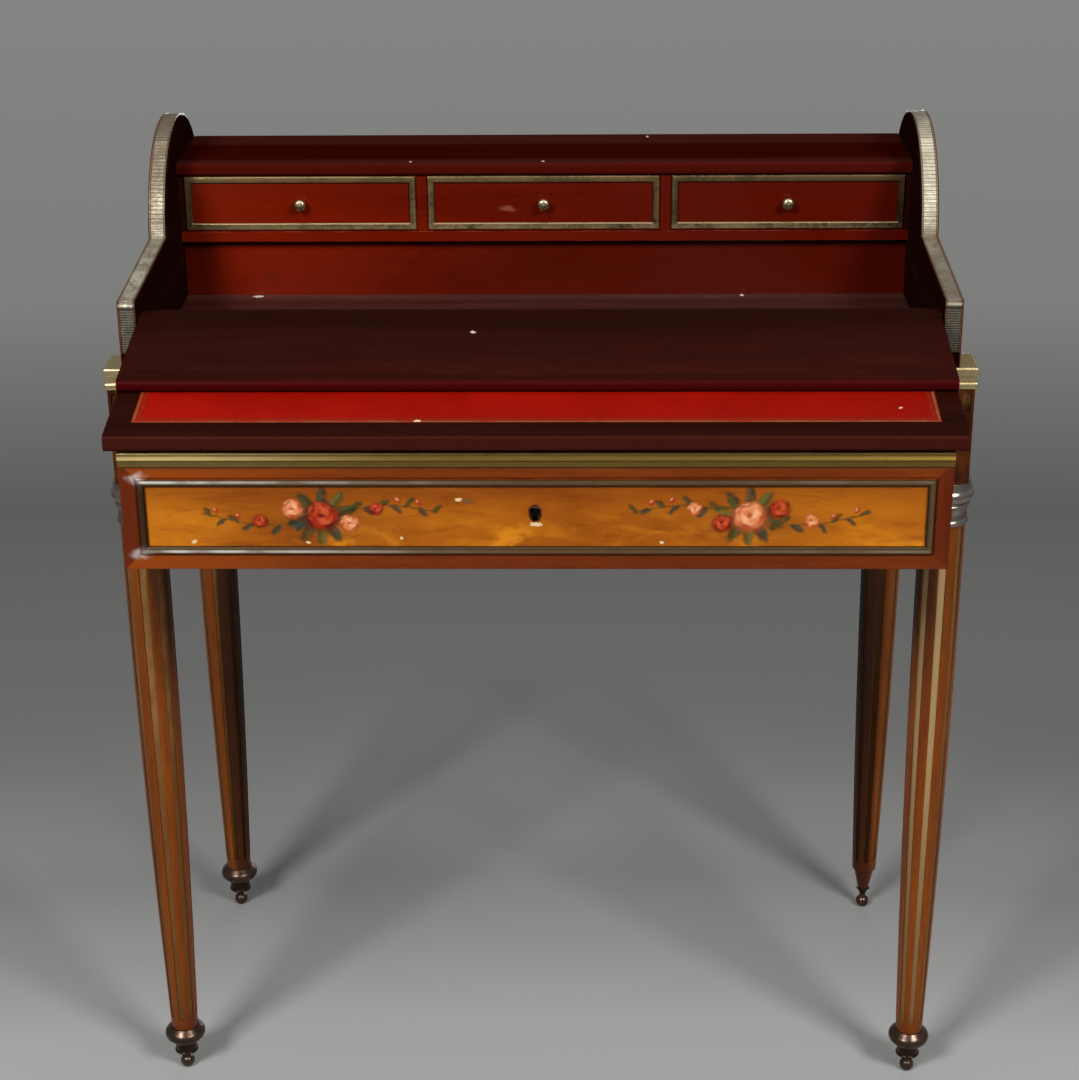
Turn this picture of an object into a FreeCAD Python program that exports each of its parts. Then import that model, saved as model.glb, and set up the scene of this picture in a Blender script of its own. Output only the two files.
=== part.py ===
import FreeCAD, Part
import math
import os
from FreeCAD import Vector

# Small lady's writing desk on four fluted legs.
# X runs across the desk, +Y runs from the front to the back, +Z is up.
# The pieces are drawn with y = 0 on the front face of the front corner blocks and z = 0 on the floor.
# All of them are then moved along Y, so that the origin is under the middle of the whole desk.

# ---- legs and feet -------------------------------------------------------------------------------
front_leg_x = 358.8          # half the spacing of the front legs
rear_leg_inset = 11.3        # the rear legs stand this much closer to the middle
block_size = 36.0            # square corner block on top of each leg
rear_block_back = 337.0      # back face of the rear corner blocks
block_bottom_z = 634.8
block_top_z = 727.0
block_flute_count = 3
block_flute_width = 7.0
block_flute_pitch = 11.8
block_flute_top_z = 720.5
block_flute_bottom_z = 701.0
leg_top_radius = 20.3
leg_middle_radius = 18.3
leg_middle_z = 285.0
leg_foot_radius = 12.8
leg_foot_z = 50.0            # shoulder that sits on the sabot
spigot_top_radius = 11.2
spigot_tip_radius = 5.6
spigot_tip_z = 24.0
flute_count = 8
flute_bottom_z = 64.0
flute_top_z = 588.0
flute_top_width = 7.0
flute_bottom_width = 4.8
flute_depth = 1.9
flute_lining = 1.1            # thickness of the brass in every flute
collar_bottom_z = 594.6
collar_radius = 26.2
collar_neck_radius = 21.6
sabot_radius = 19.6
sabot_ring_z = 42.0
sabot_cup_radius = 10.5
sabot_bottom_z = 19.5
ball_radius = 7.0
ball_flat = 0.5              # height taken off the ball where it stands
ball_neck_radius = 3.4
ferrule_radius = 7.7
ferrule_height = 6.0
fit_gap = 0.05               # radial clearance of a turned fit
flat_gap = 0.3               # clearance between faces that slide or swing past each other

# ---- frieze --------------------------------------------------------------------------------------
rail_bottom_z = block_bottom_z
front_rail_back = 39.0
front_rail_thick = 20.0
drawer_floor_z = 655.4       # height on which the frieze drawer slides
rear_rail_thick = 18.0
rear_rail_inset = 6.0        # from the back face of the rear blocks
runner_width = 45.0
runner_thick = 12.0
guide_height = 34.0

# ---- upper case ----------------------------------------------------------------------------------
cheek_inset = 13.4           # from the front legs' axis to the cheek's inner face
cheek_thick = 16.9
case_back = 348.0
nose_z = 803.1
arm_rise = math.radians(3.5)  # slope of the low front arm
arch_radius = 103.0
arch_centre_y = 264.0
arch_centre_z = 799.5
groove_z = 775.9
groove_height = 6.4
groove_depth = 5.0
groove_back = 237.0
strip_thick = 1.3
strip_foot_z = 757.0         # the metal strip ends above a plain wooden foot
strip_margin = 1.2           # wood left bare on each side of the metal strip
lip_height = 0.7
lip_width = 1.1
rib_pitch = 2.2
rib_height = 0.5
ribbed_arch_angle = 62.0     # the ribs stop this far round the arch, in degrees
nose_bar_radius = 2.4
floor_top_z = 732.7
floor_thick = 6.0
lower_wall_y = 248.7
lower_wall_thick = 8.0
back_panel_thick = 6.0
gallery_front_y = 238.0      # front face of the small drawers
shelf_bottom_z = 788.6
shelf_thick = 9.8
small_row_height = 54.7      # clear height of the row of small drawers
top_board_thick = 12.1
nosing_front_y = 233.6
divider_width = 9.4
end_stile_width = 4.6
cap_bottom_z = 723.0         # the caps reach a little way down the blocks
cap_foot_height = 6.6
cap_waist_height = 5.0
cap_head_height = 8.4
cap_overhang = 2.2
cornice_proud = 2.6

# ---- frieze drawer -------------------------------------------------------------------------------
drawer_pull = 178.0          # how far the drawer stands open
drawer_bottom_z = 632.0
drawer_height = 102.0
drawer_front_thick = 16.0
stile_gap = 0.8              # between the drawer front and the stiles beside it
stile_width = 6.5
box_inset = 8.5              # the drawer front laps over its sides
box_side_thick = 8.0
box_back_y = 120.0
box_side_drop = 12.0         # below the drawer front's top edge
box_back_drop = 18.0
box_bottom_thick = 5.0
guide_gap = 0.6
field_inset = 20.0           # from the drawer front's ends to the sight of the painted panel
field_foot = 20.3            # and from its lower and upper edges
field_head = 29.3
field_lap = 3.0              # hidden under the frame moulding
panel_thick = 1.6
panel_recess = 2.0
frame_width = 7.2
frame_proud = 2.4
top_moulding_height = 12.6
top_moulding_proud = 3.0
keyhole_z = 682.6
keyhole_radius = 4.2
keyhole_slot = 4.6
keyhole_bottom_z = 674.0
lock_width = 56.0
lock_height = 44.0
lock_thick = 9.0
bolt_width = 15.0
bolt_thick = 3.6
bolt_back_cover = 2.6        # lock case left behind the bolt
bolt_sunk = 1.0              # bolt end below the drawer's top edge when drawn back
bolt_length = 26.0
bolt_throw = 7.0
mortise_gap = 1.6
mortise_top_gap = 1.4

# ---- writing board and flap ----------------------------------------------------------------------
slope = math.radians(9.5)
board_front_y = -182.0
board_front_z = 748.4        # top front edge
board_side_gap = 1.8         # between the board and each cheek
board_thick = 13.5
board_run = 218.0            # horizontal depth of the board
board_edge_round = 3.0
leather_side = 19.6          # wood left at each end of the leather
leather_front = 22.3         # behind the board's front edge
leather_back = 20.0          # before the board's back edge
leather_thick = 1.0
guide_pin_radius = 3.0
guide_pin_back = 12.0        # before the board's back edge
guide_pin_out = 4.4
guide_pin_in = 14.0
flap_front_y = -114.3
flap_back_y = 14.4
flap_thick = 11.0
flap_front_round = 4.6
pivot_radius = 2.5
pivot_in = 14.0
pivot_out = 9.0

# ---- small drawers -------------------------------------------------------------------------------
small_gap = 0.5
small_front_thick = 9.0
small_depth = 84.0
small_side_thick = 5.0
small_bottom_thick = 4.0
small_side_drop = 7.0        # the sides stand lower than the front
small_frame_width = 6.6
small_frame_proud = 1.9
knob_radius = 5.6
knob_length = 11.0
knob_stem_radius = 2.2
rim = 1.0                    # margin by which cutting solids pass through a face

# ---- derived sizes -------------------------------------------------------------------------------
rear_leg_x = front_leg_x - rear_leg_inset
cheek_inner_x = front_leg_x - cheek_inset
half_block = block_size / 2
front_leg_y = half_block
rear_leg_y = rear_block_back - half_block
cheek_outer_x = cheek_inner_x + cheek_thick
front_block_inner_x = front_leg_x - half_block
rear_block_inner_x = rear_leg_x - half_block
rear_block_front = rear_block_back - block_size
back_panel_back = rear_block_back - rear_rail_inset
back_panel_front = back_panel_back - back_panel_thick
drawer_half_width = front_block_inner_x - stile_width - stile_gap
drawer_top_z = drawer_bottom_z + drawer_height
box_half_width = drawer_half_width - box_inset
field_half_width = drawer_half_width - field_inset
field_bottom_z = drawer_bottom_z + field_foot
field_top_z = drawer_top_z - field_head
drawer_face_y = -drawer_pull
drawer_inside_y = drawer_face_y + drawer_front_thick
shelf_top_z = shelf_bottom_z + shelf_thick
top_board_bottom_z = shelf_top_z + small_row_height
top_board_top_z = top_board_bottom_z + top_board_thick
gallery_half_width = cheek_inner_x - end_stile_width
small_opening = (2 * gallery_half_width - 2 * divider_width) / 3
small_drawer_half = small_opening / 2 - small_gap
small_bottom_z = shelf_top_z + small_gap
small_top_z = top_board_bottom_z - small_gap
board_half_width = cheek_inner_x - board_side_gap
flap_half_width = board_half_width
leather_half_width = board_half_width - leather_side
board_back_y = board_front_y + board_run
flap_axis_back = flap_thick / 2      # the flap's back edge is a half round about its pivots
board_thick_z = board_thick / math.cos(slope)
flap_thick_z = flap_thick / math.cos(slope)
front_most = board_front_y
rear_most = max(case_back, rear_leg_y + collar_radius)
origin_y = (front_most + rear_most) / 2
right_way = Vector(1, 0, 0)
upward = Vector(0, 0, 1)


def board_top(y):
    """Height of the writing board's top face at y."""
    return board_front_z + (y - board_front_y) * math.tan(slope)


def box(x0, x1, y0, y1, z0, z1):
    return Part.makeBox(x1 - x0, y1 - y0, z1 - z0, Vector(x0, y0, z0))


def mirrored(shape):
    return shape.mirror(Vector(0, 0, 0), right_way)


def both_sides(shape):
    return Part.makeCompound([shape, mirrored(shape)])


def outline(start, *steps):
    """Closed face from a start point, then end points, or (through, end) pairs for arcs."""
    edges = []
    here = start
    for step in steps:
        if isinstance(step, tuple):
            edges.append(Part.Arc(here, step[0], step[1]).toShape())
            here = step[1]
        else:
            edges.append(Part.LineSegment(here, step).toShape())
            here = step
    if here.distanceToPoint(start) > 1e-6:
        edges.append(Part.LineSegment(here, start).toShape())
    return Part.Face(Part.Wire(edges))


def turned(start, *steps):
    """Solid of revolution about Z, from a profile in the XZ plane."""
    return outline(start, *steps).revolve(Vector(0, 0, 0), upward, 360)


def rz(radius, z):
    return Vector(radius, 0, z)


def moved(shape, x, y, z=0.0):
    copy = shape.copy()
    copy.translate(Vector(x, y, z))
    return copy


def leg_places():
    """Name, x and y of each leg."""
    return [("front_left", -front_leg_x, front_leg_y),
            ("front_right", front_leg_x, front_leg_y),
            ("rear_left", -rear_leg_x, rear_leg_y),
            ("rear_right", rear_leg_x, rear_leg_y)]


# ---- legs ----------------------------------------------------------------------------------------
def shaft_core(cut):
    """Shaft between foot and collar, with `cut` taken off its radius."""
    foot = rz(leg_foot_radius - cut, leg_foot_z)
    middle = rz(leg_middle_radius - cut, leg_middle_z)
    neck = rz(leg_top_radius - cut, collar_bottom_z)
    return turned(rz(0, leg_foot_z), foot, (middle, neck), rz(0, collar_bottom_z))


def flute_slot(grow, reach):
    """Tapered slot with round ends, standing out along +X from the leg's axis."""
    low = flute_bottom_width / 2 + grow
    high = flute_top_width / 2 + grow
    left_foot = Vector(0, -low, flute_bottom_z)
    right_foot = Vector(0, low, flute_bottom_z)
    right_top = Vector(0, high, flute_top_z)
    left_top = Vector(0, -high, flute_top_z)
    bottom_tip = Vector(0, 0, flute_bottom_z - low)
    top_tip = Vector(0, 0, flute_top_z + high)
    face = outline(left_foot, (bottom_tip, right_foot), right_top, (top_tip, left_top))
    return face.extrude(Vector(reach, 0, 0))


def around_leg(shape):
    """Copies of a shape at each flute, one of them facing the front."""
    copies = []
    for index in range(flute_count):
        copy = shape.copy()
        copy.rotate(Vector(0, 0, 0), upward, 360.0 * index / flute_count - 90.0)
        copies.append(copy)
    return copies


def flute_linings():
    """The brass linings of one leg's flutes."""
    lining = shaft_core(flute_depth - flute_lining).cut(shaft_core(flute_depth - fit_gap))
    slot = flute_slot(-fit_gap, leg_top_radius + rim)
    return Part.makeCompound([lining.common(copy) for copy in around_leg(slot)])


def fluted_shaft():
    core = shaft_core(0.0)
    outer = turned(rz(0, flute_bottom_z - leg_foot_radius), rz(leg_top_radius + rim, flute_bottom_z - leg_foot_radius),
                   rz(leg_top_radius + rim, collar_bottom_z), rz(0, collar_bottom_z))
    sleeve = outer.cut(shaft_core(flute_depth))
    slot = flute_slot(0.0, leg_top_radius + 2 * rim)
    grooves = [sleeve.common(copy) for copy in around_leg(slot)]
    return core.cut(Part.makeCompound(grooves))


def spigot():
    return turned(rz(0, spigot_tip_z), rz(spigot_tip_radius, spigot_tip_z),
                  rz(spigot_top_radius, leg_foot_z), rz(0, leg_foot_z))


def block_slots(lining_only):
    """Three short flutes for one face of a corner block, drawn on the plane y = 0 around x = 0."""
    half = block_flute_width / 2
    top = block_flute_top_z - half
    bottom = block_flute_bottom_z + half
    start = flute_depth - flute_lining if lining_only else -rim
    slots = []
    for index in range(block_flute_count):
        x = (index - (block_flute_count - 1) / 2) * block_flute_pitch
        left = Vector(x - half, start, bottom)
        right = Vector(x + half, start, bottom)
        right_top = Vector(x + half, start, top)
        left_top = Vector(x - half, start, top)
        tip = Vector(x, start, block_flute_bottom_z)
        crown = Vector(x, start, block_flute_top_z)
        face = outline(left, (tip, right), right_top, (crown, left_top))
        slots.append(face.extrude(Vector(0, flute_depth - start, 0)))
    return slots


def block_slot_set(name, lining_only):
    """Block flutes of one leg: on the outer face, and on the front face of a front leg."""
    slots = []
    side = -1 if "left" in name else 1
    for slot in block_slots(lining_only):
        outer = slot.copy()
        outer.rotate(Vector(0, 0, 0), upward, 90.0 * side)
        outer.translate(Vector(side * half_block, 0, 0))
        slots.append(outer)
        if "front" in name:
            front = slot.copy()
            front.translate(Vector(0, -half_block, 0))
            slots.append(front)
    return slots


def legs(parts):
    shaft = fluted_shaft().fuse(spigot())
    neck = turned(rz(0, collar_bottom_z), rz(leg_top_radius, collar_bottom_z),
                  rz(leg_top_radius, block_bottom_z), rz(0, block_bottom_z))
    block = box(-half_block, half_block, -half_block, half_block, block_bottom_z, block_top_z)
    for name, x, y in leg_places():
        block_cut = block.cut(Part.makeCompound(block_slot_set(name, False)))
        leg = shaft.fuse(neck).fuse(block_cut).removeSplitter()
        parts[name + "_leg"] = moved(leg, x, y)


def leg_brass(parts):
    linings = flute_linings()
    for end in ("front", "rear"):
        group = [moved(linings, x, y) for name, x, y in leg_places() if end in name]
        parts[end + "_leg_flute_linings"] = Part.makeCompound(group)
    slots = []
    for name, x, y in leg_places():
        slots += [moved(slot, x, y) for slot in block_slot_set(name, True)]
    parts["block_flute_linings"] = Part.makeCompound(slots)


def collar():
    """Turned metal collar: torus, bead, neck and foot ring."""
    inner = leg_top_radius + fit_gap
    top = block_bottom_z
    bottom = collar_bottom_z
    bead = collar_neck_radius + 1.3
    return turned(rz(inner, bottom), rz(bead - 0.6, bottom),
                  (rz(bead, bottom + 2.0), rz(bead - 0.6, bottom + 4.0)), rz(collar_neck_radius, bottom + 5.0),
                  (rz(collar_neck_radius - 0.7, bottom + 10.5), rz(collar_neck_radius + 0.6, bottom + 16.0)),
                  (rz(bead + 0.5, bottom + 18.0), rz(collar_neck_radius + 0.8, bottom + 20.0)),
                  rz(collar_neck_radius + 1.6, bottom + 21.5),
                  (rz(collar_radius, bottom + 27.5), rz(collar_neck_radius + 2.6, bottom + 33.0)),
                  rz(collar_neck_radius + 1.2, top), rz(inner, top))


def sabot():
    """Bronze foot with a flared ring, a cup and a tapered socket for the leg's spigot."""
    top = leg_foot_z
    throat = sabot_ring_z - 7.5
    cup_top = sabot_ring_z - 9.0
    lip = sabot_cup_radius + 1.1
    body = turned(rz(0, sabot_bottom_z), rz(lip - 0.8, sabot_bottom_z),
                  (rz(lip, sabot_bottom_z + 1.4), rz(sabot_cup_radius, sabot_bottom_z + 2.8)),
                  rz(sabot_cup_radius, cup_top - 3.0), rz(sabot_cup_radius + 1.2, cup_top),
                  rz(sabot_cup_radius + 2.6, throat),
                  (rz(sabot_radius, sabot_ring_z), rz(sabot_radius - 2.0, sabot_ring_z + 4.2)),
                  rz(leg_foot_radius + 1.2, top), rz(0, top))
    socket = turned(rz(0, spigot_tip_z), rz(spigot_tip_radius + fit_gap, spigot_tip_z),
                    rz(spigot_top_radius + fit_gap, top), rz(0, top))
    return body.cut(socket)


def ball_foot(neck_top):
    """Ball with a small flat to stand on, and its neck."""
    centre_z = ball_radius - ball_flat
    ball = Part.makeSphere(ball_radius, Vector(0, 0, centre_z))
    neck = Part.makeCylinder(ball_neck_radius, neck_top - centre_z, Vector(0, 0, centre_z))
    below = box(-ball_radius, ball_radius, -ball_radius, ball_radius, -ball_flat - rim, 0)
    return ball.fuse(neck).cut(below)


def ferrule():
    """Broken rest of the sabot under the rear right leg: a thin ring with torn points."""
    top = spigot_tip_z
    bottom = spigot_tip_z - ferrule_height
    body = turned(rz(0, bottom), rz(ferrule_radius * 0.55, bottom), rz(ferrule_radius * 0.7, top - 2.2),
                  rz(ferrule_radius, top - 0.4), rz(ferrule_radius - 0.8, top), rz(0, top))
    notch_half = 1.6
    notches = []
    for angle in (20, 95, 160, 250, 310):
        notch = box(ferrule_radius * 0.62, ferrule_radius + rim, -notch_half, notch_half, bottom - rim, top + rim)
        notch.rotate(Vector(0, 0, 0), upward, angle)
        notches.append(notch)
    return body.cut(Part.makeCompound(notches))


def feet(parts):
    collar_shape = collar()
    sabot_shape = sabot()
    collars = []
    sabots = []
    balls = []
    for name, x, y in leg_places():
        collars.append(moved(collar_shape, x, y))
        if name == "rear_right":
            parts["rear_right_ferrule"] = moved(ferrule(), x, y)
            balls.append(moved(ball_foot(spigot_tip_z - ferrule_height), x, y))
        else:
            sabots.append(moved(sabot_shape, x, y))
            balls.append(moved(ball_foot(sabot_bottom_z), x, y))
    parts["leg_collars"] = Part.makeCompound(collars)
    parts["leg_sabots"] = Part.makeCompound(sabots)
    parts["ball_feet"] = Part.makeCompound(balls)


# ---- frieze --------------------------------------------------------------------------------------
def frieze(parts):
    side = box(cheek_inner_x, cheek_outer_x, block_size, rear_block_front, rail_bottom_z, block_top_z)
    parts["side_rail_right"] = side
    parts["side_rail_left"] = mirrored(side)
    rear_back = rear_block_back - rear_rail_inset
    parts["rear_rail"] = box(-rear_block_inner_x, rear_block_inner_x, rear_back - rear_rail_thick, rear_back,
                             rail_bottom_z, block_top_z)
    rail_front = front_rail_back - front_rail_thick
    left_end = block_size
    rail = box(-front_block_inner_x, front_block_inner_x, rail_front, left_end, rail_bottom_z, drawer_floor_z)
    tail = box(-cheek_inner_x, cheek_inner_x, left_end, front_rail_back, rail_bottom_z, drawer_floor_z)
    parts["front_rail"] = rail.fuse(tail).removeSplitter()
    stile = box(drawer_half_width + stile_gap, front_block_inner_x, 0, rail_front, rail_bottom_z, block_top_z)
    parts["front_stiles"] = both_sides(stile)
    runner = box(cheek_inner_x - runner_width, cheek_inner_x, front_rail_back, rear_block_front,
                 drawer_floor_z - runner_thick, drawer_floor_z)
    guide = box(box_half_width + guide_gap, cheek_inner_x, front_rail_back, rear_block_front,
                drawer_floor_z, drawer_floor_z + guide_height)
    runner = runner.fuse(guide).removeSplitter()
    parts["drawer_runner_right"] = runner
    parts["drawer_runner_left"] = mirrored(runner)


# ---- upper case ----------------------------------------------------------------------------------
def cheek_path(grow):
    """Points of the cheek's edge, moved outwards by `grow`: foot, nose, corner, top of the arch, end of the arch."""
    radius = arch_radius + grow
    slope_factor = math.tan(arm_rise)
    arm_start = nose_z + grow / math.cos(arm_rise)
    front = -grow
    # the corner is where the arm's line meets the arch's circle
    a = 1 + slope_factor ** 2
    b = slope_factor * (arm_start - arch_centre_z) - arch_centre_y
    c = arch_centre_y ** 2 + (arm_start - arch_centre_z) ** 2 - radius ** 2
    corner_y = (-b - math.sqrt(b * b - a * c)) / a
    end_z = arch_centre_z + math.sqrt(radius ** 2 - (case_back - arch_centre_y) ** 2)
    return [Vector(0, front, block_top_z), Vector(0, front, arm_start + front * slope_factor),
            Vector(0, corner_y, arm_start + corner_y * slope_factor),
            Vector(0, arch_centre_y, arch_centre_z + radius), Vector(0, case_back, end_z)]


def cheek_face(grow):
    foot, nose, corner, top, end = cheek_path(grow)
    heel = Vector(0, case_back, block_top_z)
    return outline(foot, nose, corner, (top, end), heel)


def cheeks(parts):
    blank = cheek_face(0.0).extrude(Vector(cheek_thick, 0, 0))
    blank.translate(Vector(cheek_inner_x, 0, 0))
    groove_front = board_back_y - guide_pin_back - guide_pin_radius - (groove_height / 2 - guide_pin_radius)
    half = groove_height / 2
    groove = box(cheek_inner_x - rim, cheek_inner_x + groove_depth, groove_front + half, groove_back - half,
                 groove_z - half, groove_z + half)
    for y in (groove_front + half, groove_back - half):
        end = Part.makeCylinder(half, groove_depth + rim, Vector(cheek_inner_x - rim, y, groove_z), right_way)
        groove = groove.fuse(end)
    axis_y, axis_z = flap_axis()
    hole = Part.makeCylinder(pivot_radius + fit_gap, pivot_out + rim + fit_gap,
                             Vector(cheek_inner_x - rim, axis_y, axis_z), right_way)
    cheek = blank.cut(groove).cut(hole)
    parts["cheek_right"] = cheek
    parts["cheek_left"] = mirrored(cheek)


def rib(y, z, angle, x0, x1):
    """Half-round rib across the strip; `angle` is the outward direction, from +Y towards +Z."""
    half = rib_pitch * 0.32
    face = outline(Vector(x0, -rim * 0.3, -half), Vector(x0, 0, -half), Vector(x0, rib_height, -half * 0.35),
                   Vector(x0, rib_height, half * 0.35), Vector(x0, 0, half), Vector(x0, -rim * 0.3, half))
    solid = face.extrude(Vector(x1 - x0, 0, 0))
    solid.rotate(Vector(0, 0, 0), right_way, math.degrees(angle))
    solid.translate(Vector(0, y, z))
    return solid


def strip_ribs(x0, x1):
    """Ribs on the lower front, and on the front of the arch."""
    ribs = []
    foot, nose, corner, top, end = cheek_path(strip_thick)
    z = strip_foot_z + rib_pitch
    while z < nose.z - 3 * nose_bar_radius:
        ribs.append(rib(foot.y, z, math.pi, x0, x1))
        z += rib_pitch
    radius = arch_radius + strip_thick
    step = rib_pitch / radius
    angle = math.asin((corner.z - arch_centre_z) / radius) + step
    while angle < math.radians(ribbed_arch_angle):
        y = arch_centre_y - radius * math.cos(angle)
        z = arch_centre_z + radius * math.sin(angle)
        ribs.append(rib(y, z, math.pi - angle, x0, x1))
        angle += step
    return ribs


def cheek_strips(parts):
    """Metal strip round the cheek's edge, with two raised lips and cross ribs."""
    x0 = cheek_inner_x + strip_margin
    x1 = cheek_outer_x - strip_margin

    def band(outer, inner, left, right):
        ring = cheek_face(outer).cut(cheek_face(inner))
        solid = ring.extrude(Vector(right - left, 0, 0))
        solid.translate(Vector(left, 0, 0))
        keep = box(left - rim, right + rim, -outer - rim, case_back + rim, strip_foot_z,
                   arch_centre_z + arch_radius + outer + rim)
        return solid.common(keep)

    strip = band(strip_thick, 0.0, x0, x1)
    full = strip_thick + lip_height
    under = strip_thick / 2
    lips = [band(full, under, x0, x0 + lip_width), band(full, under, x1 - lip_width, x1)]
    nose = cheek_path(strip_thick)[1]
    bar = Part.makeCylinder(nose_bar_radius, x1 - x0, Vector(x0, nose.y, nose.z - 2 * nose_bar_radius), right_way)
    keep_front = box(x0 - rim, x1 + rim, nose.y - 3 * nose_bar_radius, 0, nose_z - 4 * nose_bar_radius, nose_z)
    ribs = strip_ribs(x0 + lip_width, x1 - lip_width)
    strip = strip.fuse(lips + [bar.common(keep_front)] + ribs).removeSplitter()
    parts["cheek_strip_right"] = strip
    parts["cheek_strip_left"] = mirrored(strip)


def banded(x0, x1, y0, y1, proud):
    """Square moulding of a foot, a waist and a head, from its inner footprint, standing `proud` outside it."""
    shape = None
    low = cap_bottom_z
    for height, out in ((cap_foot_height, proud), (cap_waist_height, proud * 0.3), (cap_head_height, proud)):
        layer = box(x0 - out, x1 + out, y0 - out, y1 + out, low, low + height)
        if out == proud:
            layer = layer.makeFillet(min(height * 0.4, proud * 0.85), layer.Edges)
        shape = layer if shape is None else shape.fuse(layer)
        low += height
    return shape


def caps(parts):
    """Brass caps round the foot of the cheeks, over each corner block, and the cornice between them."""
    cheek_foot = box(cheek_inner_x, cheek_outer_x, 0, case_back, 0, top_board_top_z)
    inside = box(0, cheek_inner_x, -block_size, case_back + block_size, 0, top_board_top_z)
    for end, leg_x, y0 in (("front", front_leg_x, 0), ("rear", rear_leg_x, rear_block_front)):
        x0, x1, y1 = leg_x - half_block, leg_x + half_block, y0 + block_size
        block = box(x0, x1, y0, y1, 0, block_top_z)
        cap = banded(x0, x1, y0, y1, cap_overhang).cut(inside).cut(cheek_foot).cut(block)
        parts[end + "_corner_caps"] = both_sides(cap)
    cornice = banded(cheek_inner_x, cheek_outer_x, -block_size, case_back + block_size, cornice_proud)
    window = box(cheek_outer_x, cheek_outer_x + block_size, block_size + cap_overhang,
                 rear_block_front - cap_overhang, 0, top_board_top_z)
    parts["side_cornices"] = both_sides(cornice.common(window))


def upper_case(parts):
    cheeks(parts)
    cheek_strips(parts)
    caps(parts)
    parts["compartment_floor"] = box(-cheek_inner_x, cheek_inner_x, block_size + rim, lower_wall_y + lower_wall_thick,
                                     floor_top_z - floor_thick, floor_top_z)
    parts["compartment_back"] = box(-cheek_inner_x, cheek_inner_x, lower_wall_y, lower_wall_y + lower_wall_thick,
                                    floor_top_z, shelf_bottom_z)
    parts["back_panel"] = box(-cheek_inner_x, cheek_inner_x, back_panel_front, back_panel_back,
                              block_top_z, top_board_bottom_z)
    parts["small_drawer_shelf"] = box(-cheek_inner_x, cheek_inner_x, gallery_front_y, back_panel_front,
                                      shelf_bottom_z, shelf_top_z)
    top = box(-cheek_inner_x, cheek_inner_x, nosing_front_y, case_back, top_board_bottom_z, top_board_top_z)
    nosing_edges = [edge for edge in top.Edges
                    if abs(edge.BoundBox.YMax - nosing_front_y) < rim and edge.BoundBox.XLength > rim]
    parts["top_board"] = top.makeFillet((top_board_top_z - top_board_bottom_z) * 0.3, nosing_edges)
    dividers = []
    for side in (-1, 1):
        centre = side * (small_opening + divider_width) / 2
        dividers.append(box(centre - divider_width / 2, centre + divider_width / 2, gallery_front_y, back_panel_front,
                            shelf_top_z, top_board_bottom_z))
    parts["small_drawer_dividers"] = Part.makeCompound(dividers)
    stile = box(gallery_half_width, cheek_inner_x, gallery_front_y, back_panel_front, shelf_top_z, top_board_bottom_z)
    parts["small_drawer_end_stiles"] = both_sides(stile)


# ---- drawer fronts -------------------------------------------------------------------------------
def frame_moulding(half_width, z0, z1, width, face_y, proud):
    """Mitred frame of four lengths of moulding round a field, on a face that looks towards -Y."""
    shoulder = proud * 0.45
    outer = box(-half_width - width, half_width + width, face_y - proud, face_y, z0 - width, z1 + width)
    long_edges = [edge for edge in outer.Edges if edge.BoundBox.YMax < face_y - proud + fit_gap]
    outer = outer.makeChamfer(shoulder, long_edges)
    frame = outer.cut(box(-half_width, half_width, face_y - proud - rim, face_y + rim, z0, z1))
    inner_edges = [edge for edge in frame.Edges if edge.BoundBox.YMax < face_y - proud + fit_gap
                   and abs(abs(edge.CenterOfMass.x) - half_width) < fit_gap]
    inner_edges += [edge for edge in frame.Edges if edge.BoundBox.YMax < face_y - proud + fit_gap
                    and min(abs(edge.CenterOfMass.z - z0), abs(edge.CenterOfMass.z - z1)) < fit_gap]
    return frame.makeChamfer(shoulder, inner_edges)


def keyhole(depth_from, depth_to):
    """Keyhole through a face: a round eye above a slot."""
    eye = Part.makeCylinder(keyhole_radius, depth_to - depth_from, Vector(0, depth_from, keyhole_z), Vector(0, 1, 0))
    slot = box(-keyhole_slot / 2, keyhole_slot / 2, depth_from, depth_to, keyhole_bottom_z, keyhole_z)
    return eye.fuse(slot)


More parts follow.
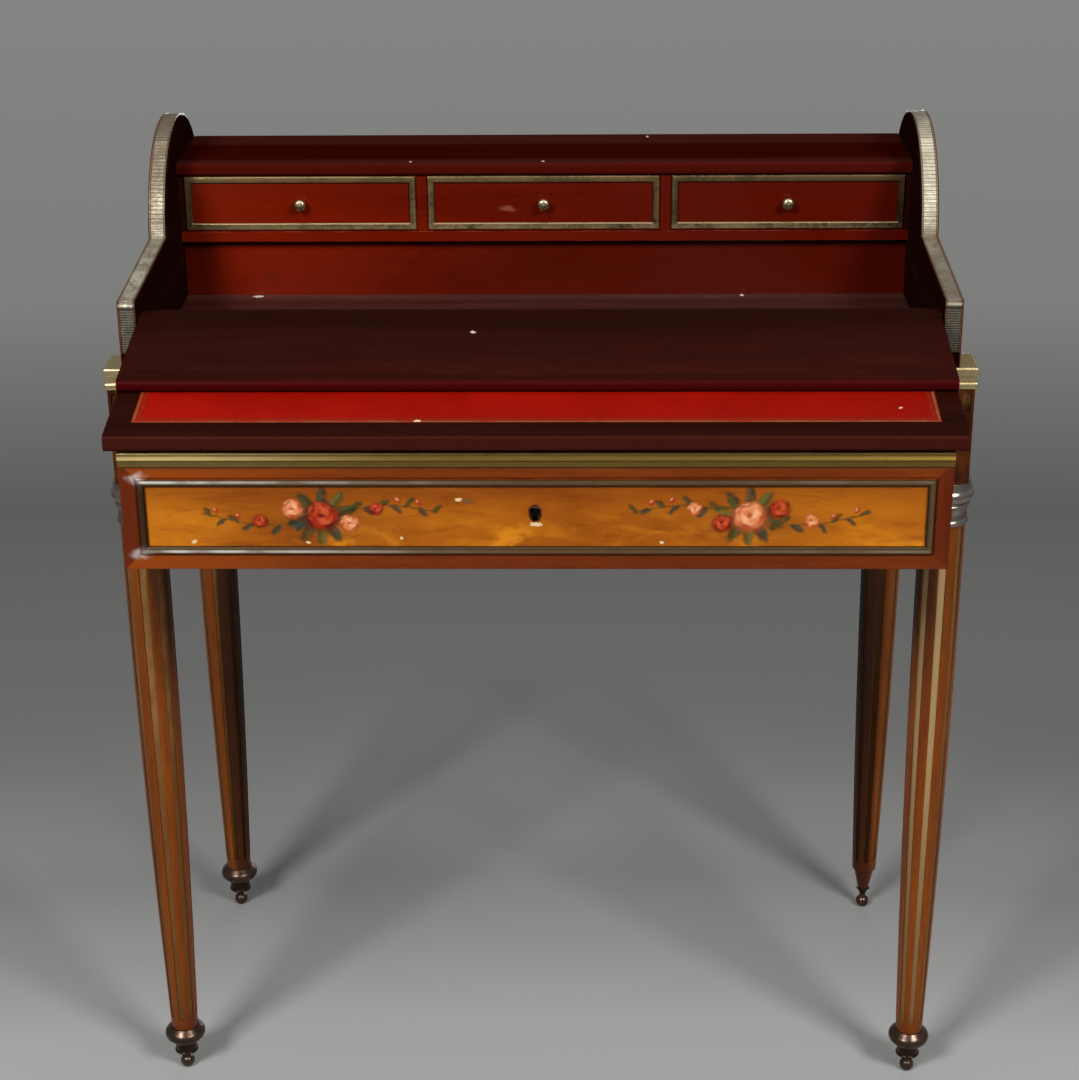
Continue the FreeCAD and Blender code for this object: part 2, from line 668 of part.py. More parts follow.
def frieze_drawer(parts):
    face = drawer_face_y
    back = drawer_inside_y
    front = box(-drawer_half_width, drawer_half_width, face, back, drawer_bottom_z, drawer_top_z)
    lap_width = field_half_width + field_lap
    recess = box(-lap_width, lap_width, face - rim, face + panel_recess, field_bottom_z - field_lap,
                 field_top_z + field_lap)
    lock_top = drawer_top_z - bolt_sunk - bolt_length * 0.25
    lock_bed = box(-lock_width / 2, lock_width / 2, back - lock_thick, back + rim, lock_top - lock_height, lock_top)
    bolt_y1 = back - bolt_back_cover
    bolt_y0 = bolt_y1 - bolt_thick
    way = bolt_width / 2 + flat_gap
    bolt_way = box(-way, way, bolt_y0 - flat_gap, bolt_y1 + flat_gap, lock_top - fit_gap, drawer_top_z + rim)
    front = front.cut(recess).cut(lock_bed).cut(bolt_way).cut(keyhole(face - rim, back - lock_thick))
    parts["frieze_drawer_front"] = front
    panel = box(-lap_width, lap_width, face + panel_recess - panel_thick, face + panel_recess,
                field_bottom_z - field_lap, field_top_z + field_lap)
    parts["painted_panel"] = panel.cut(keyhole(face - rim, face + panel_recess + rim))
    parts["panel_frame"] = frame_moulding(field_half_width, field_bottom_z, field_top_z, frame_width, face, frame_proud)
    parts["drawer_top_moulding"] = drawer_moulding(face)
    lock = box(-lock_width / 2, lock_width / 2, back - lock_thick, back, lock_top - lock_height, lock_top)
    bolt_z0 = drawer_top_z - bolt_sunk - bolt_length
    bolt_room = box(-way, way, bolt_y0 - flat_gap, bolt_y1 + flat_gap, bolt_z0 - flat_gap, lock_top + rim)
    parts["lock_case"] = lock.cut(bolt_room)
    parts["lock_bolt"] = box(-bolt_width / 2, bolt_width / 2, bolt_y0, bolt_y1, bolt_z0, drawer_top_z - bolt_sunk)
    drawer_box(parts, back)


def drawer_moulding(face):
    """Quarter-round brass moulding with a flat fillet under it, along the drawer's top edge."""
    top = drawer_top_z
    low = drawer_top_z - top_moulding_height
    fillet_z = low + top_moulding_height * 0.42
    out = face - top_moulding_proud
    profile = outline(Vector(0, face, low), Vector(0, face - top_moulding_proud * 0.45, low),
                      Vector(0, face - top_moulding_proud * 0.45, fillet_z), Vector(0, out, fillet_z + 0.8),
                      Vector(0, out, top - 1.6),
                      (Vector(0, out + 0.5, top - 0.5), Vector(0, out + 1.6, top)), Vector(0, face, top))
    moulding = profile.extrude(Vector(2 * drawer_half_width, 0, 0))
    return moved(moulding, -drawer_half_width, 0)


def drawer_box(parts, back):
    bottom = drawer_floor_z + flat_gap
    inner = box_half_width - box_side_thick
    side = box(inner, box_half_width, back, box_back_y, bottom, drawer_top_z - box_side_drop)
    floor_low = bottom + 1.6
    parts["frieze_drawer_side_right"] = side
    parts["frieze_drawer_side_left"] = mirrored(side)
    parts["frieze_drawer_bottom"] = box(-inner, inner, back, box_back_y, floor_low, floor_low + box_bottom_thick)
    parts["frieze_drawer_back"] = box(-inner, inner, box_back_y - box_side_thick, box_back_y,
                                      floor_low + box_bottom_thick, drawer_top_z - box_back_drop)


# ---- writing board and flap ----------------------------------------------------------------------
def sloped(y0, y1, lift, thick, half_width):
    """Plate parallel to the slope, between two y values; `lift` is its underside's height over the board's top."""
    low = lift / math.cos(slope)
    high = (lift + thick) / math.cos(slope)
    face = outline(Vector(-half_width, y0, board_top(y0) + low), Vector(-half_width, y1, board_top(y1) + low),
                   Vector(-half_width, y1, board_top(y1) + high), Vector(-half_width, y0, board_top(y0) + high))
    return face.extrude(Vector(2 * half_width, 0, 0))


def guide_pin_place():
    y = board_back_y - guide_pin_back
    return y, board_top(y) - board_thick_z / 2


def writing_board(parts):
    board = sloped(board_front_y, board_back_y, -board_thick, board_thick, board_half_width)
    front_edges = [edge for edge in board.Edges
                   if edge.BoundBox.YMax < board_front_y + rim and edge.BoundBox.XLength > rim]
    board = board.makeFillet(board_edge_round, front_edges)
    y0 = board_front_y + leather_front
    y1 = board_back_y - leather_back
    leather = sloped(y0, y1, -leather_thick, leather_thick, leather_half_width)
    pocket = sloped(y0, y1, -leather_thick, leather_thick + rim, leather_half_width)
    pin_y, pin_z = guide_pin_place()
    pin = Part.makeCylinder(guide_pin_radius, guide_pin_in + guide_pin_out,
                            Vector(board_half_width - guide_pin_in, pin_y, pin_z), right_way)
    pins = both_sides(pin)
    bolt_y1 = drawer_inside_y - bolt_back_cover
    bolt_y0 = bolt_y1 - bolt_thick
    mortise_half = bolt_width / 2 + mortise_gap
    bolt_high = drawer_top_z - bolt_sunk + bolt_throw
    mortise = box(-mortise_half, mortise_half, bolt_y0 - mortise_gap, bolt_y1 + mortise_gap, 0,
                  bolt_high + mortise_top_gap)
    parts["writing_board"] = board.cut(pocket).cut(pins).cut(mortise)
    parts["leather_panel"] = leather
    parts["board_guide_pins"] = pins


def flap_axis():
    """Place of the flap's pivots, from the slope of the board beneath it."""
    back_off = flap_axis_back
    y = flap_back_y - back_off
    z = board_top(y) + (flat_gap + flap_thick / 2) / math.cos(slope)
    return y, z


def flap(parts):
    axis_y, axis_z = flap_axis()
    along = Vector(0, math.cos(slope), math.sin(slope))
    up = Vector(0, -math.sin(slope), math.cos(slope))
    axis = Vector(-flap_half_width, axis_y, axis_z)
    length = (axis_y - flap_front_y) / math.cos(slope)
    half = flap_thick / 2
    nose = flap_front_round
    front = axis - along * length
    low_front = front - up * half
    high_front = front + up * half
    corner = nose * (1 - math.sqrt(0.5))
    face = outline(axis + up * half, (axis + along * half, axis - up * half),
                   low_front + along * nose,
                   (low_front + along * corner + up * corner, low_front + up * nose),
                   high_front - up * nose,
                   (high_front + along * corner - up * corner, high_front + along * nose))
    plate = face.extrude(Vector(2 * flap_half_width, 0, 0))
    pin = Part.makeCylinder(pivot_radius, pivot_in + pivot_out + (cheek_inner_x - flap_half_width),
                            Vector(flap_half_width - pivot_in, axis_y, axis_z), right_way)
    pins = both_sides(pin)
    parts["flap"] = plate.cut(pins)
    parts["flap_pivot_pins"] = pins


# ---- small drawers -------------------------------------------------------------------------------
def knob():
    """Turned brass knob, standing out along -Y from the origin."""
    profile = turned(rz(0, 0), rz(knob_stem_radius * 1.7, 0), rz(knob_stem_radius * 1.7, 1.2),
                     rz(knob_stem_radius, 2.4), rz(knob_stem_radius, 4.2),
                     (rz(knob_radius, 7.4), rz(knob_stem_radius * 1.2, knob_length - 0.5)), rz(0, knob_length))
    profile.rotate(Vector(0, 0, 0), right_way, 90)
    return profile


def small_drawer(parts, name, centre):
    front_y = gallery_front_y
    half = small_drawer_half
    inside_y = front_y + small_front_thick
    prefix = "small_drawer_" + name
    front = box(-half, half, front_y, inside_y, small_bottom_z, small_top_z)
    parts[prefix + "_front"] = moved(front, centre, 0)
    inner = half - small_side_thick
    tray = box(-half, half, inside_y, front_y + small_depth, small_bottom_z, small_top_z - small_side_drop)
    hollow = box(-inner, inner, inside_y - rim, front_y + small_depth - small_side_thick,
                 small_bottom_z + small_bottom_thick, small_top_z)
    parts[prefix + "_tray"] = moved(tray.cut(hollow), centre, 0)
    field = half - small_frame_width - rim * 0.4
    frame = frame_moulding(field, small_bottom_z + small_frame_width + 1.4, small_top_z - small_frame_width - 0.4,
                           small_frame_width, front_y, small_frame_proud)
    parts[prefix + "_frame"] = moved(frame, centre, 0)
    middle_z = (small_bottom_z + small_top_z) / 2
    parts[prefix + "_knob"] = moved(knob(), centre, front_y, middle_z)


def small_drawers(parts):
    pitch = small_opening + divider_width
    for name, place in (("left", -1), ("centre", 0), ("right", 1)):
        small_drawer(parts, name, place * pitch)


def main():
    parts = {}
    legs(parts)
    leg_brass(parts)
    feet(parts)
    frieze(parts)
    upper_case(parts)
    frieze_drawer(parts)
    writing_board(parts)
    flap(parts)
    small_drawers(parts)
    os.makedirs("parts", exist_ok=True)
    for name, shape in sorted(parts.items()):
        placed = moved(shape, 0, -origin_y)
        placed.exportStep("parts/" + name + ".step")
        print(name, "solids", len(placed.Solids), "valid", placed.isValid(), "volume", round(placed.Volume))
    print("nodes", len(parts))


main()
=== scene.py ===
import math

import bpy
import numpy as np
from mathutils import Matrix, Vector, noise


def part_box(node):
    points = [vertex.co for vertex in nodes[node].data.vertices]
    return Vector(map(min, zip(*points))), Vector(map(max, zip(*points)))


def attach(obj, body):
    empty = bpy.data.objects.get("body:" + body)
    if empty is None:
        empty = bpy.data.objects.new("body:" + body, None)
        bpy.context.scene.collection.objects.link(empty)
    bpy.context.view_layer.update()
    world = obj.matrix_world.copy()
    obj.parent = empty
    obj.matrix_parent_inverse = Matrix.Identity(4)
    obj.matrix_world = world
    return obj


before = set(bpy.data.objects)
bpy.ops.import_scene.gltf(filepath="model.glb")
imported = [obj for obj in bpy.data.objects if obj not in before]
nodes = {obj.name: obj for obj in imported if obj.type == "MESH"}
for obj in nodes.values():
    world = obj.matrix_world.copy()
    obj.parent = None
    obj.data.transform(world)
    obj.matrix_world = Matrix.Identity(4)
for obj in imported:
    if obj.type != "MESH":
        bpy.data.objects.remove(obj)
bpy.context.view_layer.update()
scene = bpy.context.scene

# Lengths are in metres, angles in degrees, powers in watts and colours in 0-255, as they look on screen.

# ---- camera, light and floor: values -------------------------------------------------------------
CAMERA_PLACE = (0.0448, -1.9561, 1.387)
CAMERA_PITCH = 23.2742          # down from level
CAMERA_YAW = -1.4013            # right of straight back
CAMERA_ROLL = -0.5411           # anticlockwise
LENS, SENSOR_WIDTH = 76.203, 36     # in millimetres

SOFTBOXES = (                   # name, place, point it faces, size, power
    ("left_softbox", (-1.65, -2.65, 2.9), (0, 0, 0.5), (1.0, 1.0), 126),
    ("right_softbox", (1.95, -2.4, 2.9), (0, 0, 0.5), (1.0, 1.0), 110),
    ("top_softbox", (0.0, -0.1, 3.0), (0, 0, 0.6), (1.6, 1.0), 10),
    ("back_softbox", (0.5, 3.3, 0.5), (0, 0, 0.6), (1.6, 0.5), 30),
)
DIM_SKY, PALE_SKY = (36, 36, 36), (82, 82, 81)
BACKDROP = (131, 131, 130)

FLOOR_RADIUS, FLOOR_RINGS, FLOOR_SIDES = 11.0, 24, 96
FLOOR_SPAN = 8.0                # reach of the floor's tones
# Greys of the floor at distances from the desk, lit and further away; their darker band is painted shade.
LIT_FLOOR = ((0.62, 162), (0.76, 146), (0.9, 136), (1.0, 145), (1.1, 146), (1.6, 118))
FAR_FLOOR = ((1.1, 112), (1.49, 103), (2.03, 92), (3.1, 125), (6.1, 132))

# ---- the desk: values ----------------------------------------------------------------------------
GRAIN = {"X": (1, 14, 14), "Y": (14, 1, 14), "Z": (14, 14, 1)}     # figure is drawn out along one axis

DARK = dict(deep=(30, 7, 3), middle=(42, 10, 6), bright=(54, 15, 9), worn=(90, 40, 28))
BOARD = dict(deep=(22, 5, 2), middle=(32, 8, 4), bright=(42, 12, 7), worn=(90, 40, 28))
# near-black wood of the cheeks' inner faces
NEAR_BLACK = dict(deep=(20, 6, 3), middle=(28, 9, 5), bright=(38, 12, 7), worn=(80, 36, 22))
DULL = dict(deep=(58, 28, 24), middle=(72, 38, 33), bright=(88, 52, 46), worn=(120, 62, 30))
RED = dict(deep=(78, 9, 1), middle=(88, 14, 2), bright=(100, 20, 2), worn=(130, 60, 30))
# painted highlight: at full wear this paler colour runs along the shelf's edges
SHELF_RED_EDGE_HIGHLIGHT = {**RED, "worn": (150, 66, 44)}
ORANGE = dict(deep=(86, 31, 5), middle=(104, 42, 8), bright=(122, 55, 12), worn=(150, 92, 48))
LEG = dict(deep=(98, 43, 6), middle=(123, 60, 10), bright=(150, 80, 16), worn=(160, 104, 52))
PALE = dict(deep=(96, 62, 34), middle=(122, 84, 48), bright=(142, 102, 62), worn=(160, 122, 80))
CHIP = (196, 176, 160)

BRASS = dict(bright=(176, 136, 84), dull=(98, 70, 42), dirt=(40, 28, 14))
CAP_BRASS = dict(bright=(212, 194, 146), dull=(150, 126, 84), dirt=(58, 42, 24))
KNOB_BRASS = dict(bright=(214, 198, 160), dull=(122, 104, 74), dirt=(44, 34, 22))
MOULDING_BRASS = dict(bright=(190, 156, 82), dull=(136, 106, 54), dirt=(46, 34, 16))
FLUTE_BRASS = dict(bright=(214, 158, 98), dull=(136, 94, 54), dirt=(50, 28, 14))
SILVERED = dict(bright=(220, 214, 191), dull=(112, 102, 85), dirt=(56, 44, 34))
BRONZE = dict(bright=(94, 74, 62), dull=(54, 39, 31), dirt=(26, 18, 14))
COLLAR = dict(bright=(176, 168, 158), dull=(96, 70, 54), dirt=(24, 17, 12))
STEEL = dict(bright=(150, 148, 144), dull=(96, 90, 84), dirt=(44, 38, 32))
PANEL_FRAME_BRASS = dict(bright=(176, 142, 104), dull=(128, 96, 66), dirt=(46, 30, 18))
SMALL_FRAME_BRASS = dict(bright=(222, 190, 132), dull=(140, 110, 72), dirt=(54, 38, 22))

# Chips: centre and half sizes, in the plane of the face they are on.
LEATHER_CHIPS = ((-0.094, -0.2405, 0.0028, 0.0016), (0.2940, -0.2200, 0.0013, 0.0013))
PAINT_CHIPS = ((-0.277, 0.6560, 0.0022, 0.0014), (-0.184, 0.6555, 0.0018, 0.0012),
               (-0.108, 0.6590, 0.0016, 0.0014), (-0.0615, 0.6925, 0.0030, 0.0018),
               (0.0008, 0.6712, 0.0050, 0.0017), (0.102, 0.6555, 0.0020, 0.0014))
FLAP_CHIPS = ((-0.055, -0.113, 0.0022, 0.0022),)
TOP_CHIPS = ((0.100, 0.2550, 0.0010, 0.0030), (-0.125, 0.1570, 0.0014, 0.0018), (0.0, 0.1570, 0.0012, 0.0016))
FLOOR_CHIPS = ((-0.276, 0.1600, 0.0050, 0.0030), (0.19, 0.1610, 0.0016, 0.0030))

KEYHOLE = (0.0, 0.6805)         # X and Z
CHEEK_VENEER = 0.0009           # depth of the cheeks' outer veneer
ARCH_CENTRE = (0.264, 0.7995)   # Y and Z of the cheeks' arch
FIRST_RIB = 0.1628              # where the ribs start round the arch, in radians
RIB_STEP = 0.0022 / 0.1043      # pitch of the ribs over the radius they stand on
NOSE_HEIGHT = 0.8031            # Z at which the strips' nose begins
HIGHLIGHT_REACH = 0.009             # how far outside its axis the front right leg's brass carries a painted highlight

PANEL_FRAME_WIDTH, SMALL_FRAME_WIDTH = 0.0072, 0.0066
# Painted highlight and shade: brightness of a moulding at each share of its width.
PANEL_FRAME_PAINTED_LIGHT = ((0.0, 0.3), (0.2, 0.4), (0.36, 0.72), (0.56, 0.72), (0.7, 0.5), (0.9, 0.24), (1.0, 0.12))
SMALL_FRAME_PAINTED_LIGHT = ((0.0, 0.5), (0.14, 1.0), (0.36, 1.0), (0.5, 0.8), (0.8, 0.7), (0.92, 0.4), (1.0, 0.25))
MOULDING_PAINTED_LIGHT = ((0.0, 0.6), (0.34, 0.6), (0.42, 0.5), (0.5, 0.85), (0.6, 1.0), (0.72, 0.9), (0.82, 0.6),
                  (0.93, 0.16))

# ---- the painted sprays: values ------------------------------------------------------------------
SPRAY_X = 0.172                 # middle of the right spray; the left one mirrors it
STEM_Z = 0.6790                 # height about which the stems wave
STEM_START, STEM_STEP, STEM_STROKES = 0.082, 0.0056, 34    # first X, spacing and number of the strokes
ROSES = ((SPRAY_X, STEM_Z, 0.0125, True), (0.196, 0.6850, 0.0080, False), (0.150, 0.6725, 0.0074, False),
         (0.128, 0.6850, 0.0052, True), (0.222, 0.6745, 0.0056, True))      # X, Z, size, main colour
ROSE_RINGS = ((0.74, 7), (0.4, 5))      # reach and number of the petals
BUDS = (0.094, 0.110, 0.240, 0.258)     # X
BOUQUET = (15, 52, 88, 130, 165, 198, 235, 268, 300, 340)   # directions of the leaves round the roses
GREENS = ((34, 44, 20), (58, 62, 24), (24, 40, 30), (90, 82, 30))
REDS = ((92, 14, 6), (150, 34, 14), (196, 84, 48))
PEACHES = ((158, 70, 36), (204, 116, 72), (232, 170, 122))
PAINT_START, PAINT_STEP, PAINT_MARGIN = 0.070, 0.0009, 0.0035     # first X, spacing of points, bare rim
PAINT_LIFT = 0.00005            # how far the paint stands in front of the panel
BRUSH_WOBBLE, WOBBLE_SCALE = 0.0011, 260    # how far strokes are shaken, and how finely
BRUSH_SEED = 7


# ---- node helpers --------------------------------------------------------------------------------
def linear(colour):
    """0-255 screen colour as linear RGBA."""
    channels = [c / 255 for c in colour]
    return [c / 12.92 if c <= 0.04045 else ((c + 0.055) / 1.055) ** 2.4 for c in channels] + [1.0]


class Tree:
    """Short calls for one node tree. A value is a number, a colour or another node's socket."""

    def __init__(self, tree):
        self.tree = tree

    def join(self, value, socket):
        if isinstance(value, bpy.types.NodeSocket):
            self.tree.links.new(value, socket)
        else:
            socket.default_value = value

    def node(self, kind, inputs=None, **props):
        made = self.tree.nodes.new("ShaderNode" + kind)
        for key, value in props.items():
            setattr(made, key, value)
        for key, value in (inputs or {}).items():
            self.join(value, made.inputs[key])
        return made

    def calc(self, operation, first, second=0.0, clamp=False):
        return self.node("Math", {0: first, 1: second}, operation=operation, use_clamp=clamp).outputs[0]

    def plus(self, first, second):
        return self.calc("ADD", first, second)

    def minus(self, first, second):
        return self.calc("SUBTRACT", first, second)

    def times(self, first, second):
        return self.calc("MULTIPLY", first, second)

    def absolute(self, value):
        return self.calc("ABSOLUTE", value)

    def remap(self, value, low, high, to_low=0.0, to_high=1.0):
        """Eases from one value to another while the input goes from low to high."""
        return self.node("MapRange", {0: value, 1: low, 2: high, 3: to_low, 4: to_high},
                         interpolation_type="SMOOTHSTEP").outputs[0]

    def band(self, value, low, high, soft):
        """1 between low and high, with soft borders."""
        rise = self.remap(value, low - soft, low + soft)
        fall = self.remap(value, high - soft, high + soft, 1.0, 0.0)
        return self.times(rise, fall)

    def mix(self, factor, first, second, blend="MIX"):
        made = self.node("Mix", data_type="RGBA", blend_type=blend)
        for value, socket in ((factor, 0), (first, 6), (second, 7)):
            self.join(value, made.inputs[socket])
        return made.outputs[2]

    def tint(self, colour, share, tone, most=1.0):
        """The colour turned towards a screen colour, by the share times `most`."""
        if most != 1.0:
            share = self.times(share, most)
        return self.mix(share, colour, linear(tone))

    def seen(self):
        """1 for what is seen directly or in a reflection, 0 for light on its way to another surface."""
        path = self.node("LightPath").outputs
        mirrored = self.calc("MAXIMUM", path["Is Glossy Ray"], path["Is Transmission Ray"])
        return self.calc("MAXIMUM", path["Is Camera Ray"], mirrored)


class Look(Tree):
    """A Principled material, with patterns in the object's own place."""

    def __init__(self, name, **constants):
        self.material = bpy.data.materials.new(name)
        self.material.use_nodes = True
        super().__init__(self.material.node_tree)
        self.tree.nodes.clear()
        self.output = self.node("OutputMaterial")
        self.shader = self.node("BsdfPrincipled")
        self.tree.links.new(self.shader.outputs[0], self.output.inputs[0])
        self.place = self.node("TexCoord").outputs["Object"]
        self.split = None
        for socket, value in constants.items():
            self.set(socket.replace("_", " "), value)

    def set(self, socket, value):
        self.join(value, self.shader.inputs[socket])

    def xyz(self):
        if self.split is None:
            self.split = self.node("SeparateXYZ", {0: self.place}).outputs
        return self.split

    def stretch(self, scale, vector=None, offset=(0, 0, 0), turn=(0, 0, 0)):
        return self.node("Mapping", {"Vector": vector or self.place, "Scale": scale, "Location": offset,
                                     "Rotation": turn}).outputs[0]

    def length(self, vector):
        return self.node("VectorMath", {0: vector}, operation="LENGTH").outputs["Value"]

    def noise(self, scale, detail=3.0, rough=0.5, bend=0.0, offset=(0, 0, 0), turn=(0, 0, 0)):
        """Clouds with their own scale along each axis."""
        vector = self.stretch(scale, offset=offset, turn=turn)
        return self.node("TexNoise", {"Vector": vector, "Scale": 1.0, "Detail": detail, "Roughness": rough,
                                      "Distortion": bend}).outputs["Fac"]

    def bent(self, amount, scale):
        """The object's place shifted by up to about `amount` metres, for ragged borders."""
        wobble = self.node("TexNoise", {"Vector": self.place, "Scale": scale, "Detail": 3.0}).outputs["Color"]
        shift = self.node("VectorMath", {0: wobble, 1: (0.5, 0.5, 0.5)}, operation="SUBTRACT").outputs[0]
        shift = self.node("VectorMath", {0: shift, "Scale": amount}, operation="SCALE").outputs[0]
        return self.node("VectorMath", {0: self.place, 1: shift}, operation="ADD").outputs[0]

    def ramp(self, factor, stops):
        made = self.node("ValToRGB", {0: factor})
        elements = made.color_ramp.elements
        while len(elements) < len(stops):
            elements.new(0.5)
        for element, (place, colour) in zip(elements, stops):
            element.position = place
            element.color = colour
        return made.outputs[0]

    def toned(self, factor, *stops):
        """A ramp through screen colours."""
        return self.ramp(factor, [(place, linear(colour)) for place, colour in stops])

    def painted_profile_light(self, colour, share, tones):
        """The colour times a painted highlight and shade: a moulding's brightness at each share of its width.
        """
        greys = self.ramp(share, [(place, [grey] * 3 + [1]) for place, grey in tones])
        return self.mix(1.0, colour, greys, "MULTIPLY")

    def bump(self, height, strength, distance, radius=None):
        """Relief in the surface, over edges rounded to the radius if one is given."""
        inputs = {"Height": height, "Strength": strength, "Distance": distance}
        if radius is not None:
            inputs["Normal"] = self.rounded(radius)
        self.set("Normal", self.node("Bump", inputs).outputs[0])

    def rounded(self, radius):
        return self.node("Bevel", {"Radius": radius}, samples=4).outputs[0]

    def edges(self, radius):
        """About 1 on convex edges, 0 on flat faces."""
        hard = self.node("NewGeometry").outputs["Normal"]
        same = self.node("VectorMath", {0: self.rounded(radius), 1: hard}, operation="DOT_PRODUCT")
        return self.remap(same.outputs["Value"], 0.995, 0.745)

    def hollows(self, reach):
        """About 1 in narrow recesses, 0 on open faces."""
        openness = self.node("AmbientOcclusion", {"Distance": reach}, samples=6, only_local=True)
        return self.remap(openness.outputs["AO"], 0.35, 0.95, 1.0, 0.0)

    def upward(self, low, high):
        """0 where the rise of the face's normal is low, 1 where it is high; low may be the greater one."""
        normal = self.node("SeparateXYZ", {0: self.node("NewGeometry").outputs["Normal"]}).outputs["Z"]
        return self.remap(normal, low, high)

    def dab(self, vector, centre, half_size, angle=0, soft=0.5, plane="XZ"):
        """A soft elliptical patch in the plane of the front or of the top, round a given point."""
        turn = (0, -math.radians(angle), 0)
        where = (centre[0], 0, centre[1])
        scale = (half_size[0], 1e3, half_size[1])
        if plane == "XY":
            turn, where, scale = (0, 0, math.radians(angle)), (*centre, 0), (*half_size, 1e3)
        local = self.node("Mapping", {"Vector": vector, "Location": where, "Rotation": turn, "Scale": scale},
                          vector_type="TEXTURE").outputs[0]
        return self.remap(self.length(local), 1.0 + soft, 1.0 - soft)

    def chipped(self, colour, chips, ground, plane="XY"):
        """Small ragged losses that show the ground under the polish or paint."""
        ragged = self.bent(0.004, 300)
        for first, second, long, wide in chips:
            chip = self.dab(ragged, (first, second), (long, wide), 0, 0.25, plane)
            colour = self.tint(colour, chip, ground)
        return colour

    def glow(self, share, colour):
        """An even tone in place of the lit one; it lights nothing."""
        tone = self.node("Emission", {"Color": colour}).outputs[0]
        share = self.times(share, self.seen())
        mixed = self.node("MixShader", {0: share, 1: self.shader.outputs[0], 2: tone}).outputs[0]
        self.tree.links.new(mixed, self.output.inputs[0])


# ---- materials -----------------------------------------------------------------------------------
def wood(name, deep, middle, bright, worn, grain="X", gloss=0.28, coat=0.05, wear=0.5, seed=0.0, level=0.16,
         extra=None):
    """Polished veneer: soft figure and fine pores along the grain, and lighter worn arrises."""
    look = Look(name, Coat_Weight=coat, Coat_Roughness=0.16, Specular_IOR_Level=level)
    broad, streaks, pores = ([size * share for share in GRAIN[grain]] for size in (2.2, 14, 60))
    broad = look.noise(broad, 4.0, 0.5, 0.8, offset=(seed, seed * 1.7, seed * 0.6))
    streaks = look.noise(streaks, 4.0, 0.6, 0.2)
    pores = look.noise(pores, 2.0)
    figure = look.plus(look.times(broad, 0.7), look.times(streaks, 0.3))
    colour = look.toned(figure, (0.3, deep), (0.5, middle), (0.7, bright))
    fine = look.remap(pores, 0.38, 0.5, 0.84, 1.0)
    fine = look.node("CombineColor", {0: fine, 1: fine, 2: fine}).outputs[0]
    colour = look.mix(1.0, colour, fine, "MULTIPLY")
    if extra:
        colour = extra(look, colour)
    if wear:
        patchy = look.times(look.edges(0.0012), look.remap(look.noise((40, 40, 40)), 0.4, 0.62))
        colour = look.mix(look.times(patchy, wear), colour, linear(worn))
    look.set("Base Color", colour)
    smudges = look.noise((9, 9, 9), 4.0)
    look.set("Roughness", look.remap(smudges, 0.3, 0.7, gloss - 0.06, gloss + 0.1))
    look.bump(pores, 0.08, 0.0003, 0.0008)
    return look.material


def metal(name, bright, dull, dirt, shine=0.3, reach=0.004, blotch=30.0, patchy=0.6, grain=(1, 1, 1),
          metallic=1.0, extra=None):
    """Cast or drawn metal with patina: tarnish in patches, dirt in hollows, polished arrises."""
    look = Look(name, Metallic=metallic)
    cloud = look.noise([blotch * share for share in grain], 6.0, 0.62, 0.4)
    flecks = look.noise([blotch * 9 * share for share in grain], 4.0, 0.6)
    tarnished = look.remap(look.plus(look.times(cloud, 0.65), look.times(flecks, 0.35)), 0.36, 0.62)
    colour = look.mix(look.times(tarnished, patchy), linear(bright), linear(dull))
    colour = look.tint(colour, look.hollows(reach), dirt, 0.9)
    colour = look.tint(colour, look.edges(0.0008), bright, 0.5)
    if extra:
        colour = extra(look, colour)
    look.set("Base Color", colour)
    rough = look.plus(look.times(tarnished, 0.18), look.times(flecks, 0.14))
    look.set("Roughness", look.plus(rough, shine - 0.07))
    look.bump(look.noise((250, 250, 250), 4.0), 0.1, 0.0004, 0.0005)
    return look.material


def leather():
    """Red writing leather with grain, rubbed patches and a blind-tooled gilt border."""
    look = Look("red_leather", Specular_IOR_Level=0.07)
    x, y, _ = look.xyz()
    low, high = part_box("leather_panel")
    to_side = look.minus(high.x, look.absolute(x))
    to_front_or_back = look.minus((high.y - low.y) / 2, look.absolute(look.minus(y, (low.y + high.y) / 2)))
    inset = look.calc("MINIMUM", to_side, to_front_or_back)
    cloud = look.remap(look.noise((14, 14, 14), 5.0), 0.3, 0.7)
    colour = look.mix(cloud, linear((126, 8, 1)), linear((143, 12, 1)))
    right_half = look.remap(x, -0.02, 0.33)
    colour = look.tint(colour, right_half, (116, 8, 1), 0.5)
    waves = {"Vector": look.stretch((1, 1, 0)), "Scale": 150.0, "Distortion": 5.0, "Detail": 2.0}
    motif = look.node("TexWave", waves, wave_type="BANDS", bands_direction="DIAGONAL").outputs["Fac"]
    scroll = look.times(look.band(inset, 0.0038, 0.0068, 0.0006), look.remap(motif, 0.45, 0.6, 0.0, 0.2))
    rubbed = look.remap(look.noise((60, 60, 60), 4.0), 0.36, 0.66, 1.0, 0.45)
    line = look.times(look.band(inset, 0.0004, 0.0026, 0.0005), rubbed)
    tooled = look.calc("ADD", line, scroll, clamp=True)
    border = look.band(inset, -0.001, 0.0085, 0.001)
    colour = look.tint(colour, border, (90, 20, 8), 0.3)
    colour = look.tint(colour, tooled, (124, 70, 38))
    look.set("Base Color", look.chipped(colour, LEATHER_CHIPS, (206, 178, 140)))
    look.set("Roughness", look.minus(0.52, look.times(tooled, 0.12)))
    cells = look.node("TexVoronoi", {"Vector": look.place, "Scale": 900.0}).outputs["Distance"]
    look.bump(look.minus(look.times(cells, 0.4), look.times(tooled, 0.8)), 0.25, 0.0004)
    return look.material


